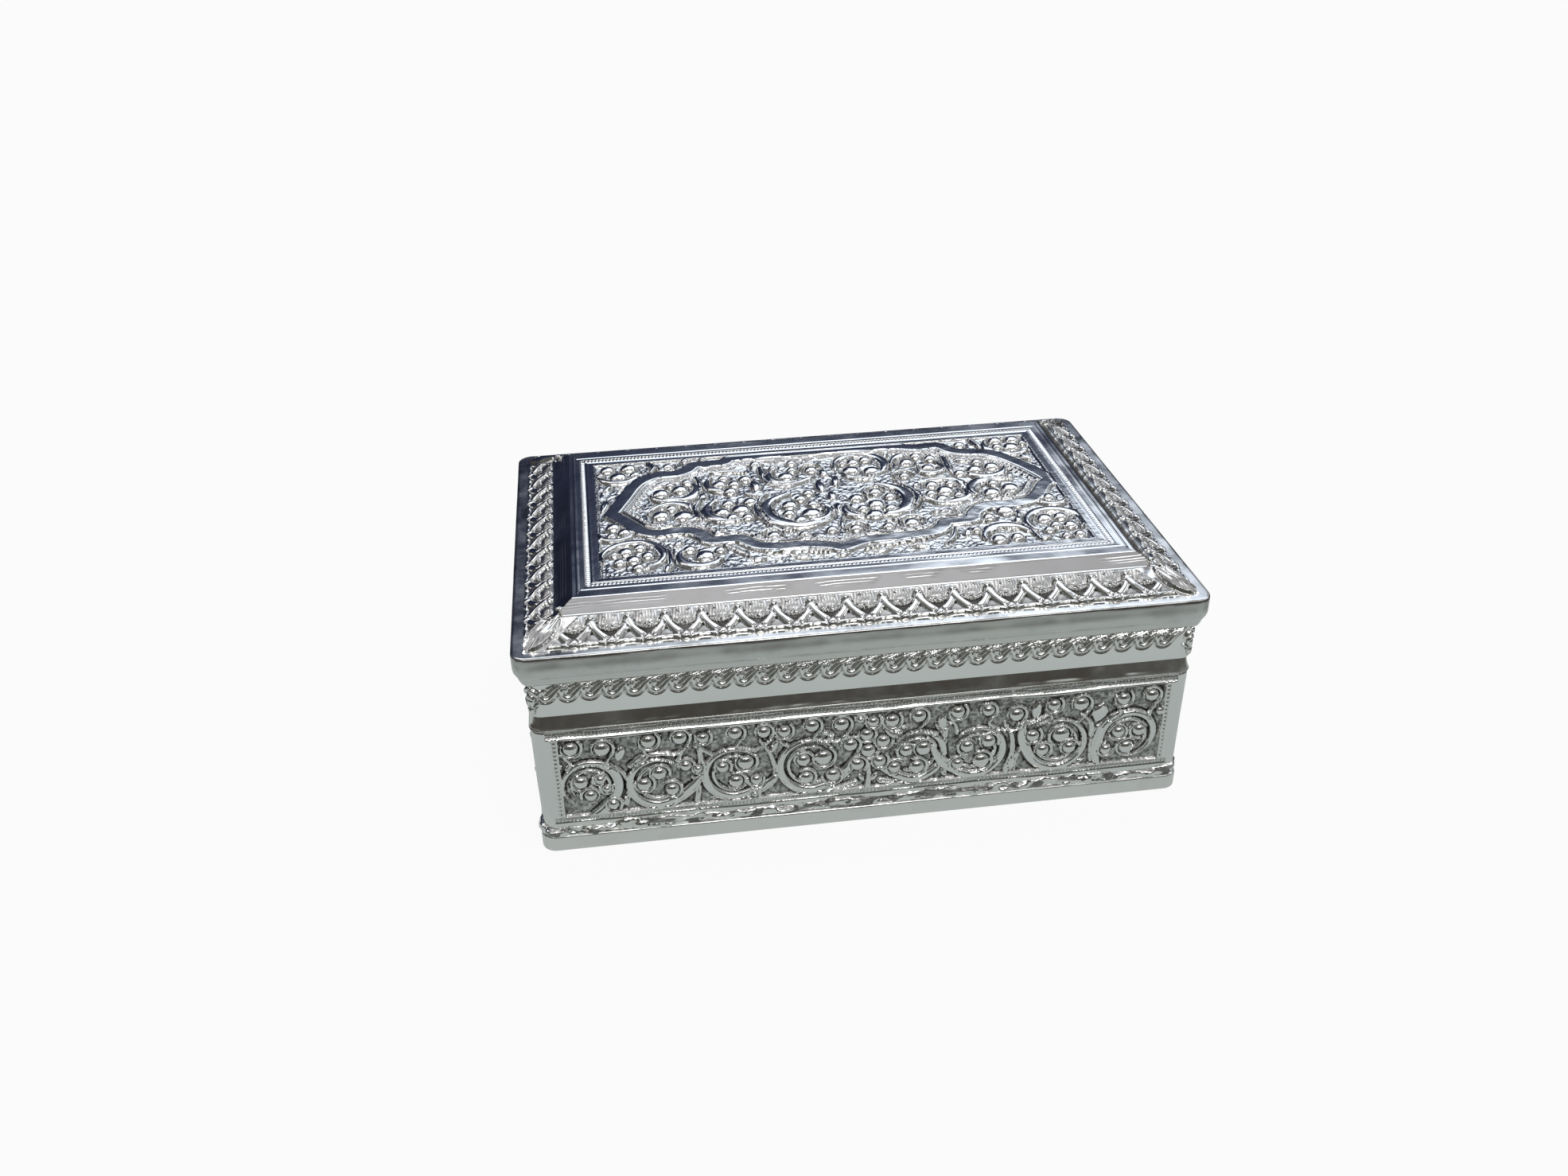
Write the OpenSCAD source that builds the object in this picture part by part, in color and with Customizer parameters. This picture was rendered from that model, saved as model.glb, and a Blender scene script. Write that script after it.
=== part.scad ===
// Chased silver keepsake box with a hinged, stepped lid and a velvet lining.

/* [Overall] */
// Length over the lid rim
box_length = 120; // [110:1:140]
// Depth over the lid rim, front to back
box_depth = 83; // [78:1:100]
// Opening angle that the lid is drawn at, 0 is closed
lid_angle = 0; // [0:5:105]

/* [Body] */
// Height of the plain plinth
plinth_height = 3.2; // [2.5:0.1:4]
// Top of the rough solder wire that lies on the plinth
wire_top = 4.7; // [4.4:0.1:5.2]
// Top of the chased walls
wall_top = 25.5; // [24:0.5:26.5]
// Height of the seam between body and lid
seam_height = 28.3; // [27.8:0.1:30]
// Thickness of the base plate
base_thickness = 1; // [0.8:0.1:1.2]

/* [Lid] */
// Underside of the lid rim, where it meets the skirt
rim_bottom = 34.8; // [34:0.1:35.5]
// Upper face of the lid rim
rim_top = 41; // [40:0.5:42]
// Rise of the petal border from its outer to its inner edge
petal_rise = 2.5; // [1.5:0.1:3]
// Rise of the plain slope between the petals and the flat band
step_rise = 2; // [1:0.1:2.5]
// Thickness of the lid's sheet
sheet = 0.8; // [0.6:0.1:1]

/* [Ornament] */
// Petals along a long side
petals_long = 17; // [11:2:17]
// Petals along a short side
petals_short = 10; // [7:1:10]
// Gadroons along a long side of the skirt
gadroons_long = 30; // [20:1:30]
// Gadroons along a short side of the skirt
gadroons_short = 20; // [14:1:20]
// Scroll roundels on a short wall
roundels_short = 6; // [4:1:7]
// How far the chased ornament stands out
relief = 0.5; // [0.3:0.1:0.6]

/* [Hinge] */
// Length of the row of knuckles
hinge_length = 72; // [50:1:90]
// Outer radius of a knuckle
knuckle_radius = 1.1; // [1:0.05:1.1]
// Radius of the pin
pin_radius = 0.5; // [0.45:0.05:0.55]

/* [Lining] */
// Thickness of the velvet covered boards on the walls
board = 1.2; // [1:0.1:1.5]
// Thickness of the padded floor
pad = 2.6; // [2:0.1:4]

/* [Hidden] */
$fn = 48;

// Sides, counted anticlockwise from above
front = 0;
right = 1;
back = 2;
left = 3;

// Insets are measured in from the rim's outer rectangle
plinth_inset = 1.6;
wire_inset = 1.75;
wall_foot_inset = 2.4;
wall_low_inset = 2.2;
wall_high_inset = 1.75;
ground_depth = 0.45;
border_low = 1.2;
border_high = 2.9;
shoulder_low_inset = 1.65;
shoulder_high_inset = 2.4;
wall_inner = 3.4;
skirt_inset = 1.9;
skirt_inner = 3.1;
bezel_inner = 4;
bezel_bottom = 24.6;
bezel_top = 30.4;
body_corner = 4.2;
rim_corner = 2.9;
seam_gap = 0.06;
skirt_top = rim_top - sheet;

// Levels of the lid's top: inset on the short sides, inset on the long sides, height
margin_level = [2.2, 2.2, rim_top];
petal_level = [7.5, 8.6, rim_top + petal_rise];
slope_level = [10.7, 11.3, rim_top + petal_rise + step_rise];
band_level = [13, 14.9, rim_top + petal_rise + step_rise];

sunk = 0.2;
hinge_inset = 1.3;
hinge_clearance = 0.3;
pin_clearance = 0.05;
knuckles = 5;
knuckle_gap = 0.3;
knuckle_pitch = hinge_length / knuckles;
lid_lining_bottom = 38.4;

// Scrolls of a long wall: place along it, height, radius, turn of the opening
long_scrolls = [
    [-48.8, 13, 4.8, 250], [-36.8, 12.6, 5, 20], [-24, 13, 5.2, 300], [-10.2, 13.2, 5.6, 320],
    [8.8, 13.1, 5, 190], [19.7, 12.8, 5.1, 220], [34.6, 12.8, 5.2, 150], [47.9, 12.7, 4.8, 260]
];
// Buds of the long wall's flower and of its upper row
flower_buds = [[0, 14.8], [-0.3, 18.3], [-3.2, 16.4], [2.7, 16.6], [-1.8, 12], [2, 12.3]];
upper_buds = [
    -51.8, -46.5, -38.5, -33, -28.6, -23.5, -18.5, -14.4, -10, -4.8,
    0.6, 4.6, 9, 16, 21.5, 26.8, 33.5, 38.5, 46.3, 51.5
];
upper_row = 20.9;
bud = 1.5;

// Scrolls of the top panel: place, radius, turn of the opening
top_scrolls = [
    [-6, -1.5, 5.6, 90], [8, -1, 6, 60], [-19, -0.5, 4.8, 30], [21.5, 0.3, 4.8, 200],
    [-30, -1, 4.4, 240], [32.3, -0.5, 4.4, 260], [-29, 9.6, 4, 60], [31.3, 10.2, 4, 60],
    [-18.4, 11, 3.8, 330], [21.5, 12.5, 4.2, 300], [-6.2, 12.6, 3.6, 60], [7.6, 14.8, 4.2, 300],
    [-37.5, -16.5, 4.9, 240], [39, -15.8, 4.6, 300], [-26.5, -18.5, 3.6, 90], [28.5, -18.5, 3.4, 300],
    [-38, 19.5, 4.1, 80], [39, 20, 4, 150], [-40.5, -6, 2.6, 0], [41.5, -5.3, 2.4, 0]
];
// Middle line of the plain ribbon round the cartouche, clockwise from its left point
ribbon = [
    [-41.5, 1], [-39, 7], [-37, 12], [-35, 15], [-32, 16.9], [-28, 17.2], [-25.8, 18.5],
    [-24, 20.6], [-18.6, 20.8], [-16.5, 22.4], [-8, 23], [4, 23], [16, 22.6], [21, 21.2],
    [25.6, 21.4], [27.6, 18.8], [30, 17.3], [33.5, 16.6], [36, 15], [38.5, 12], [41, 7.5],
    [43.2, 1.8], [41.5, -0.5], [39.5, -4], [37, -6.5], [33.5, -7.6], [29.5, -7.3], [27, -8.2],
    [25.2, -10.3], [24, -12.6], [19.5, -12.8], [18.4, -14.6], [16, -16.4], [10, -17.2],
    [4, -17.5], [0.8, -18.7], [-1.2, -19.6], [-3, -18.6], [-7, -17.4], [-13, -17.2],
    [-16, -16.2], [-17.8, -14.2], [-19, -12.9], [-24, -12.9], [-25.2, -10.8], [-27, -8.7],
    [-30, -8.1], [-33.5, -8.5], [-36.5, -6.7], [-38.8, -3]
];
ribbon_width = 1.7;

silver = [0.86, 0.86, 0.84];
chased = [0.72, 0.73, 0.73];
velvet = [0.27, 0.03, 0.07];

function side_length(side) = side % 2 == 0 ? box_length : box_depth;
function side_reach(side) = side % 2 == 0 ? box_depth / 2 : box_length / 2;
function side_inset(side, level) = side % 2 == 0 ? level[1] : level[0];
function end_inset(side, level) = side % 2 == 0 ? level[0] : level[1];

// Places its children on one side: x runs along it, y is the inset and z is up
module on_side(side) {
    rotate([0, 0, 90 * side])
        translate([0, -side_reach(side), 0])
            children();
}

// Solid behind an outline of [inset, height] points, mitred at round corners, cut flat inside
module moulding(side, outline, corner, inner) {
    low = outline[0][1];
    high = outline[len(outline) - 1][1];
    run = side_length(side) - 2 * corner;
    filled = concat(outline, [[corner, high], [corner, low]]);
    turned = [for (p = filled) [corner - p[0], p[1]]];
    on_side(side)
        difference() {
            union() {
                translate([-run / 2, 0, 0])
                    rotate([90, 0, 90])
                        linear_extrude(run)
                            polygon(filled);
                for (end = [0, 1])
                    mirror([end, 0, 0])
                        translate([run / 2, corner, 0])
                            rotate([0, 0, -90])
                                rotate_extrude(angle = 45)
                                    polygon(turned);
            }
            translate([-side_length(side) / 2 + inner, inner, low - 1])
                cube([side_length(side) - 2 * inner, corner, high - low + 2]);
        }
}

// Upright block with round corners, as large as a ring of mouldings with this inset
module rounded_block(inset, corner, low, high) {
    long = box_length - 2 * corner;
    deep = box_depth - 2 * corner;
    translate([-long / 2, -box_depth / 2 + inset, low])
        cube([long, box_depth - 2 * inset, high - low]);
    translate([-box_length / 2 + inset, -deep / 2, low])
        cube([box_length - 2 * inset, deep, high - low]);
    for (x = [-1, 1], y = [-1, 1])
        translate([x * long / 2, y * deep / 2, low])
            cylinder(r = corner - inset, h = high - low);
}

// Flat board along one side with mitred ends
module mitred_board(side, outer, inner, low, high) {
    half = side_length(side) / 2;
    on_side(side)
        translate([0, 0, low])
            linear_extrude(high - low)
                polygon([
                    [-half + outer, outer], [half - outer, outer],
                    [half - inner, inner], [-half + inner, inner]
                ]);
}

// Sheet strip that climbs through the lid's levels along one side, mitred at its ends
module sheet_strip(side, levels) {
    half = side_length(side) / 2;
    count = len(levels);
    function corner_point(end, level, drop) =
        [end * (half - end_inset(side, level)), side_inset(side, level), level[2] - drop];
    points = [for (drop = [0, sheet], end = [-1, 1], level = levels) corner_point(end, level, drop)];
    // Order of the points: upper left, upper right, lower left, lower right
    faces = [for (k = [0 : count - 2]) each [
        [k, k + 1, count + k + 1, count + k],
        [2 * count + k, 3 * count + k, 3 * count + k + 1, 2 * count + k + 1],
        [k, 2 * count + k, 2 * count + k + 1, k + 1],
        [count + k, count + k + 1, 3 * count + k + 1, 3 * count + k]
    ]];
    rims = [
        [0, count, 3 * count, 2 * count],
        [count - 1, 3 * count - 1, 4 * count - 1, 2 * count - 1]
    ];
    on_side(side)
        polyhedron(points, concat(faces, rims));
}

// Stands its children on an upright face: their x runs along it, their y up and their z out
module on_face(x, height, inset) {
    translate([x, inset, height])
        rotate([90, 0, 0])
            children();
}

// Round bud that swells out of the sheet
module dome(radius, height) {
    translate([0, 0, -sunk])
        cylinder(r1 = radius, r2 = radius * 0.55, h = height + sunk);
}

// Open ring of stem with buds inside it
module scroll(radius, turn) {
    stem = radius * 0.3;
    rotate([0, 0, turn])
        rotate_extrude(angle = 300)
            polygon([
                [radius - stem, -sunk], [radius, -sunk],
                [radius - stem * 0.3, relief], [radius - stem * 0.7, relief]
            ]);
    for (place = [0 : 3])
        rotate([0, 0, turn + 90 * place])
            translate([radius * 0.39, 0, 0])
                dome(radius * 0.24, relief * 1.4);
}

// Point beside a closed line, to the left of it by the given distance
function beside(line, k, distance) =
    let (
        before = line[(k + len(line) - 1) % len(line)],
        after = line[(k + 1) % len(line)],
        along = (after - before) / norm(after - before)
    )
    line[k] + distance * [-along[1], along[0]];

// Closed band of even width that follows a line
module band(line, width) {
    count = len(line);
    points = [for (way = [0.5, -0.5], k = [0 : count - 1]) beside(line, k, way * width)];
    polygon(points, [[for (k = [0 : count - 1]) k], [for (k = [0 : count - 1]) count + k]]);
}

module base_plate() {
    color(silver)
        translate([-box_length / 2 + wall_foot_inset + seam_gap, -box_depth / 2 + wall_foot_inset + seam_gap, 0])
            cube([
                box_length - 2 * (wall_foot_inset + seam_gap),
                box_depth - 2 * (wall_foot_inset + seam_gap),
                base_thickness
            ]);
}

module plinth(side) {
    edge = 0.5;
    outline = [
        [plinth_inset + edge / 2, 0], [plinth_inset, edge / 2],
        [plinth_inset, plinth_height - edge], [plinth_inset + edge, plinth_height]
    ];
    color(silver)
        moulding(side, outline, body_corner, wall_foot_inset);
}

module solder_wire() {
    middle = (plinth_height + wire_top) / 2;
    outline = [
        [wire_inset + 0.3, plinth_height], [wire_inset, middle - 0.3],
        [wire_inset, middle + 0.3], [wire_inset + 0.3, wire_top]
    ];
    color(chased)
        for (side = [front, right, back, left])
            moulding(side, outline, body_corner, wall_foot_inset);
}

module wall(side) {
    length = side_length(side);
    long = side == front || side == back;
    pitch = (length - 2 * 6.5) / roundels_short;
    short_scrolls = [for (k = [0 : roundels_short - 1]) [
        (k - (roundels_short - 1) / 2) * pitch, 13, pitch * 0.46, k % 2 == 0 ? 250 : 20
    ]];
    short_buds = [for (k = [0.5 : 2 * roundels_short - 0.5]) (k - roundels_short) * pitch / 2];
    ground = (wall_low_inset + wall_high_inset) / 2 + ground_depth;
    ground_low = wire_top + border_low;
    ground_high = wall_top - border_high;
    rail = 1.1;
    outline = [
        [wall_foot_inset, base_thickness], [wall_foot_inset, wire_top],
        [wall_low_inset, wire_top], [wall_low_inset, ground_low],
        [ground, ground_low], [ground, ground_high],
        [wall_high_inset, ground_high], [wall_high_inset, wall_top]
    ];
    color(chased)
        moulding(side, outline, body_corner, wall_inner);
    color(chased)
        on_side(side) {
            for (place = long ? long_scrolls : short_scrolls)
                on_face(place[0], place[1], ground)
                    scroll(place[2], place[3]);
            for (x = long ? upper_buds : short_buds)
                on_face(x, upper_row, ground)
                    dome(bud, relief * 1.4);
            if (long)
                for (place = flower_buds)
                    on_face(place[0], place[1], ground)
                        dome(bud, relief * 1.6);
            for (end = [-1, 1])
                on_face(end * (length / 2 - 5.4) - rail / 2, ground_low - sunk, ground + sunk)
                    cube([rail, ground_high - ground_low + 2 * sunk, sunk + relief * 0.4]);
        }
}

module shoulder(side) {
    outline = [
        [shoulder_low_inset, wall_top], [shoulder_low_inset, wall_top + 0.4],
        [shoulder_high_inset, seam_height]
    ];
    color(silver)
        difference() {
            moulding(side, outline, body_corner, wall_inner);
            if (side == back)
                hinge_notch();
        }
}

module bezel(side) {
    color(silver)
        mitred_board(side, wall_inner, bezel_inner, bezel_bottom, bezel_top);
}

module lining_board(side) {
    color(velvet)
        mitred_board(side, wall_inner, wall_inner + board, base_thickness, bezel_bottom);
}

module lining_floor() {
    inset = wall_inner + board;
    color(velvet)
        translate([-box_length / 2 + inset, -box_depth / 2 + inset, base_thickness])
            cube([box_length - 2 * inset, box_depth - 2 * inset, pad]);
}

// Square groove in the back of the seam that leaves room for the knuckles
module hinge_notch() {
    reach = knuckle_radius + hinge_clearance;
    translate([-hinge_length / 2 - hinge_clearance, box_depth / 2 - hinge_inset - reach, seam_height - reach])
        cube([hinge_length + 2 * hinge_clearance, 2 * reach, 2 * reach]);
}

// One knuckle with the web that joins it to the body (below) or to the lid (above)
module knuckle(below) {
    reach = knuckle_radius + hinge_clearance;
    width = knuckle_pitch - knuckle_gap;
    web = reach - pin_radius - pin_clearance - 0.15;
    difference() {
        union() {
            translate([0, box_depth / 2 - hinge_inset, seam_height])
                rotate([0, 90, 0])
                    cylinder(r = knuckle_radius, h = width, center = true);
            translate([-width / 2, box_depth / 2 - hinge_inset - reach, seam_height + (below ? -reach : reach - web)])
                cube([width, reach, web]);
        }
        translate([0, box_depth / 2 - hinge_inset, seam_height])
            rotate([0, 90, 0])
                cylinder(r = pin_radius + pin_clearance, h = width + 1, center = true);
    }
}

// Every second knuckle of the row, from the given one on
module knuckle_row(first, below) {
    color(silver)
        for (k = [first : 2 : knuckles - 1])
            translate([(k - (knuckles - 1) / 2) * knuckle_pitch, 0, 0])
                knuckle(below);
}

module hinge_pin() {
    color(silver)
        translate([0, box_depth / 2 - hinge_inset, seam_height])
            rotate([0, 90, 0])
                cylinder(r = pin_radius, h = hinge_length, center = true);
}

module skirt(side) {
    length = side_length(side);
    gadroons = side % 2 == 0 ? gadroons_long : gadroons_short;
    pitch = (length - 2 * 4.6) / gadroons;
    lobe = pitch * 0.42;
    low = seam_height + 3;
    bottom = seam_height + seam_gap;
    color(chased)
        difference() {
            union() {
                moulding(side, [[skirt_inset, bottom], [skirt_inset, skirt_top]], body_corner, skirt_inner);
                on_side(side)
                    for (k = [0 : gadroons - 1])
                        on_face((k - (gadroons - 1) / 2) * pitch, low + lobe, skirt_inset + sunk)
                            linear_extrude(relief + sunk) {
                                circle(lobe);
                                translate([-lobe, 0])
                                    square([2 * lobe, rim_bottom - low - lobe - 0.1]);
                            }
            }
            if (side == back)
                hinge_notch();
        }
}

module rim(side) {
    outline = [
        [skirt_inset, rim_bottom], [1, rim_bottom + 1.1], [0.35, rim_bottom + 2],
        [0, rim_bottom + 3], [0, rim_top - 0.3], [0.3, rim_top]
    ];
    color(silver)
        difference() {
            moulding(side, outline, rim_corner, margin_level[0]);
            rounded_block(skirt_inset, body_corner, rim_bottom - 1, skirt_top);
        }
}

// Stamped border: arched petals with a boss, and a curled bud in front of each
module petals(side) {
    count = side % 2 == 0 ? petals_long : petals_short;
    run = side_inset(side, petal_level) - side_inset(side, margin_level);
    slope = atan2(petal_rise, run);
    height = norm([run, petal_rise]);
    length = side_length(side) - 2 * end_inset(side, petal_level);
    pitch = length / count;
    foot = 1.2;
    arch = min(pitch * 0.4, (height - foot) * 0.45);
    curl = arch * 0.5;
    color(chased)
        sheet_strip(side, [margin_level, petal_level]);
    color(chased)
        on_side(side)
            for (k = [0 : count - 1])
                translate([(k - (count - 1) / 2) * pitch, side_inset(side, margin_level), rim_top])
                    rotate([slope, 0, 0]) {
                        translate([0, height - arch - foot, 0]) {
                            translate([0, 0, -sunk])
                                linear_extrude(relief + sunk) {
                                    circle(arch);
                                    translate([-arch, 0])
                                        square([2 * arch, arch + foot - sunk]);
                                }
                            translate([0, -0.4, relief])
                                dome(arch * 0.45, relief);
                        }
                        translate([0, curl + sunk, 0])
                            dome(curl, relief);
                    }
}

module step(side) {
    color(silver)
        sheet_strip(side, [petal_level, slope_level, band_level]);
}

// Chased centre of the lid, with its cartouche and its large scrolls
module top_panel() {
    length = box_length - 2 * band_level[0];
    depth = box_depth - 2 * band_level[1];
    top = band_level[2];
    color(chased)
        translate([-length / 2, -depth / 2, top - sheet])
            cube([length, depth, sheet]);
    color(silver)
        translate([0, 0, top - sunk])
            linear_extrude(sunk + relief * 0.6)
                band(ribbon, ribbon_width);
    color(chased)
        for (place = top_scrolls)
            translate([place[0], place[1], top])
                scroll(place[2], place[3]);
}

module lid_lining() {
    color(velvet)
        translate([-box_length / 2 + skirt_inner, -box_depth / 2 + skirt_inner, lid_lining_bottom])
            cube([box_length - 2 * skirt_inner, box_depth - 2 * skirt_inner, skirt_top - lid_lining_bottom]);
}

// Turns the lid's pieces about the pin
module open_lid() {
    translate([0, box_depth / 2 - hinge_inset, seam_height])
        rotate([-lid_angle, 0, 0])
            translate([0, -box_depth / 2 + hinge_inset, -seam_height])
                children();
}

base_plate();
plinth(front);  // plinth_front
plinth(right);  // plinth_right
plinth(back);  // plinth_back
plinth(left);  // plinth_left
solder_wire();
wall(front);  // wall_front
wall(right);  // wall_right
wall(back);  // wall_back
wall(left);  // wall_left
shoulder(front);  // shoulder_front
shoulder(right);  // shoulder_right
shoulder(back);  // shoulder_back
shoulder(left);  // shoulder_left
bezel(front);  // bezel_front
bezel(right);  // bezel_right
bezel(back);  // bezel_back
bezel(left);  // bezel_left
lining_floor();
lining_board(front);  // lining_front
lining_board(right);  // lining_right
lining_board(back);  // lining_back
lining_board(left);  // lining_left
knuckle_row(0, true);  // body_knuckles
hinge_pin();
open_lid() skirt(front);  // skirt_front
open_lid() skirt(right);  // skirt_right
open_lid() skirt(back);  // skirt_back
open_lid() skirt(left);  // skirt_left
open_lid() rim(front);  // rim_front
open_lid() rim(right);  // rim_right
open_lid() rim(back);  // rim_back
open_lid() rim(left);  // rim_left
open_lid() petals(front);  // petals_front
open_lid() petals(right);  // petals_right
open_lid() petals(back);  // petals_back
open_lid() petals(left);  // petals_left
open_lid() step(front);  // step_front
open_lid() step(right);  // step_right
open_lid() step(back);  // step_back
open_lid() step(left);  // step_left
open_lid() top_panel();
open_lid() lid_lining();
open_lid() knuckle_row(1, false);  // lid_knuckles
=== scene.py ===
import bpy
import math
import numpy as np
from mathutils import Matrix


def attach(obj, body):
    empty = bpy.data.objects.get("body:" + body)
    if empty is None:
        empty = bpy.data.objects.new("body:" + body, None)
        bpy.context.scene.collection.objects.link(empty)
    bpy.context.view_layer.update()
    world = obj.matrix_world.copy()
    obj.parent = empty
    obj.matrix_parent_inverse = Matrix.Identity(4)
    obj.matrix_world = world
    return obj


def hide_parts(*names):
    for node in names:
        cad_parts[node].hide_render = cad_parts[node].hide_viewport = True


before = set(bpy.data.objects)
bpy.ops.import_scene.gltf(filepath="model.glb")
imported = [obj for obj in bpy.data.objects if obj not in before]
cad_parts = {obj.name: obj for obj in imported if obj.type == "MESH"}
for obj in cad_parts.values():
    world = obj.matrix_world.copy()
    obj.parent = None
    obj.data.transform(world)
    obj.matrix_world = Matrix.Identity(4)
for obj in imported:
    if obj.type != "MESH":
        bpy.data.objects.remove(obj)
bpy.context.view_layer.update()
mm = 0.001
scene = bpy.context.scene
scene.view_settings.view_transform = "Standard"

# sizes are in millimetres, and insets run in from the rim's rectangle
box = {"length": 120, "depth": 83, "bodyCorner": 4.2, "rimCorner": 2.9, "hingeReach": 36.3, "hingeInset": 2.78}
sideNames = ["front", "right", "back", "left"]

# the photograph's viewpoint, in metres and radians
view = {
    "place": (-0.041395, -0.246206, 0.165020), "yaw": 0.12964, "pitch": 0.50713, "roll": 0.020884,
    "lens": 33.37, "sensor": 36, "nearest": 0.01,
}


def addCamera():
    yaw, pitch, roll = view["yaw"], view["pitch"], view["roll"]
    forward = np.array([math.sin(yaw) * math.cos(pitch), math.cos(yaw) * math.cos(pitch), -math.sin(pitch)])
    level = np.array([math.cos(yaw), -math.sin(yaw), 0.0])
    down = np.cross(forward, level)
    across = level * math.cos(roll) + down * math.sin(roll)
    down = -level * math.sin(roll) + down * math.cos(roll)
    bpy.ops.object.camera_add()
    camera = bpy.context.object
    camera.name = "camera"
    camera.data.lens = view["lens"]
    camera.data.sensor_width = view["sensor"]
    camera.data.clip_start = view["nearest"]
    camera.matrix_world = facing(across, -down, -forward, view["place"])
    scene.camera = camera


def facing(right, up, back, place):
    return Matrix([[right[k], up[k], back[k], place[k]] for k in range(3)] + [[0, 0, 0, 1]])


# selecting, reading and closing meshes
def deselectAll():
    if bpy.context.object and bpy.context.object.mode != "OBJECT":
        bpy.ops.object.mode_set(mode="OBJECT")
    bpy.ops.object.select_all(action="DESELECT")


def pick(obj):
    deselectAll()
    obj.select_set(True)
    bpy.context.view_layer.objects.active = obj


def getPlaces(obj, unit=mm):
    # one row for each point
    flat = np.empty(len(obj.data.vertices) * 3)
    obj.data.vertices.foreach_get("co", flat)
    return flat.reshape(-1, 3) / unit


def setPlaces(obj, places):
    obj.data.vertices.foreach_set("co", places.reshape(-1) * mm)
    obj.data.update()


def newGrid(name, columns, rows):
    # a flat grid whose own coordinates run from -1 to 1 along both edges
    deselectAll()
    bpy.ops.mesh.primitive_grid_add(x_subdivisions=columns, y_subdivisions=rows, size=2)
    obj = bpy.context.object
    obj.name = obj.data.name = name
    flat = getPlaces(obj, 1).reshape(rows + 1, columns + 1, 3)
    return obj, flat[..., 0].copy(), flat[..., 1].copy()


def closeBack(obj, backPlace):
    # pulls the open edge of a sheet back to a flat face and fills it
    count = len(obj.data.vertices)
    pick(obj)
    bpy.ops.object.mode_set(mode="EDIT")
    bpy.ops.mesh.select_mode(type="EDGE")
    bpy.ops.mesh.select_all(action="DESELECT")
    bpy.ops.mesh.select_non_manifold()
    bpy.ops.mesh.extrude_edges_move()
    bpy.ops.object.mode_set(mode="OBJECT")
    places = getPlaces(obj)
    places[count:] = backPlace(places[count:])
    setPlaces(obj, places)
    bpy.ops.object.mode_set(mode="EDIT")
    bpy.ops.mesh.remove_doubles(threshold=0.001 * mm)
    bpy.ops.mesh.edge_face_add()
    bpy.ops.mesh.select_all(action="SELECT")
    bpy.ops.mesh.normals_make_consistent(inside=False)
    bpy.ops.object.mode_set(mode="OBJECT")


def applyAll(obj):
    pick(obj)
    for modifier in list(obj.modifiers):
        bpy.ops.object.modifier_apply(modifier=modifier.name)


def thicken(obj, thickness):
    sheet = obj.modifiers.new("sheet", "SOLIDIFY")
    sheet.thickness = thickness * mm
    sheet.offset = -1
    applyAll(obj)


def smoothShade(obj, degrees=50):
    pick(obj)
    bpy.ops.object.shade_smooth_by_angle(angle=math.radians(degrees))


def joinParts(parts, name):
    pick(parts[0])
    for part in parts:
        part.select_set(True)
    bpy.ops.object.join()
    whole = bpy.context.object
    whole.name = whole.data.name = name
    return whole


def finishPiece(obj, material, body, nodes):
    obj.data.materials.clear()
    obj.data.materials.append(material)
    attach(obj, body)
    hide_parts(*nodes)


def finishPlain(obj, material, body, nodes):
    smoothShade(obj)
    finishPiece(obj, material, body, nodes)


def finishChased(obj, field, spread, material, body, nodes):
    storeHollowsAndShade(obj, field, spread)
    smoothShade(obj)
    finishPiece(obj, material, body, nodes)


# the four sides: "along" runs from left to right seen from outside
def sideLength(side):
    return box["length"] if side % 2 == 0 else box["depth"]


def sideReach(side):
    return (box["depth"] if side % 2 == 0 else box["length"]) / 2


def toBox(side, along, inset, height):
    turn = side * math.pi / 2
    across = inset - sideReach(side)
    return np.stack([
        along * math.cos(turn) - across * math.sin(turn),
        along * math.sin(turn) + across * math.cos(turn),
        height + 0 * along], axis=-1)


def fromBox(side, places):
    turn = -side * math.pi / 2
    x, y, z = places[..., 0], places[..., 1], places[..., 2]
    return x * math.cos(turn) - y * math.sin(turn), x * math.sin(turn) + y * math.cos(turn) + sideReach(side), z


def cornerPath(side, walk, inset, corner, halfWalk):
    # follows a side and the near half of its two rounded corners
    run = sideLength(side) / 2 - corner
    past = np.clip((np.abs(walk) - run) / (halfWalk - run), 0, 1) * math.pi / 4
    radius = corner - inset
    straight = np.clip(walk, -run, run)
    along = straight + np.sign(walk) * np.where(np.abs(walk) > run, radius * np.sin(past), 0)
    depth = np.where(np.abs(walk) > run, corner - radius * np.cos(past), inset)
    return along, depth


def walkLength(side, corner, inset):
    return sideLength(side) / 2 - corner + (corner - inset) * math.pi / 4


def runLengths(insets, heights):
    # distance along a profile up to each of its points
    return np.concatenate([[0], np.cumsum(np.hypot(np.diff(insets), np.diff(heights)))])


def outwards(inset, z):
    # direction square to the profile at each row: its inward and its upward share
    slopeIn, slopeUp = np.gradient(inset[:, 0]), np.gradient(z[:, 0])
    long = np.hypot(slopeIn, slopeUp)
    return (-slopeUp / long)[:, None], (slopeIn / long)[:, None]


# shapes of curves
def smoothNoise(x, y, size, seed):
    table = np.random.RandomState(seed).rand(128, 128)
    gx, gy = x / size + 64, y / size + 64
    ix, iy = np.floor(gx).astype(int), np.floor(gy).astype(int)
    fx, fy = gx - ix, gy - iy
    fx, fy = fx * fx * (3 - 2 * fx), fy * fy * (3 - 2 * fy)
    low = table[iy % 128, ix % 128] * (1 - fx) + table[iy % 128, (ix + 1) % 128] * fx
    high = table[(iy + 1) % 128, ix % 128] * (1 - fx) + table[(iy + 1) % 128, (ix + 1) % 128] * fx
    return (low * (1 - fy) + high * fy) * 2 - 1


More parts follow.
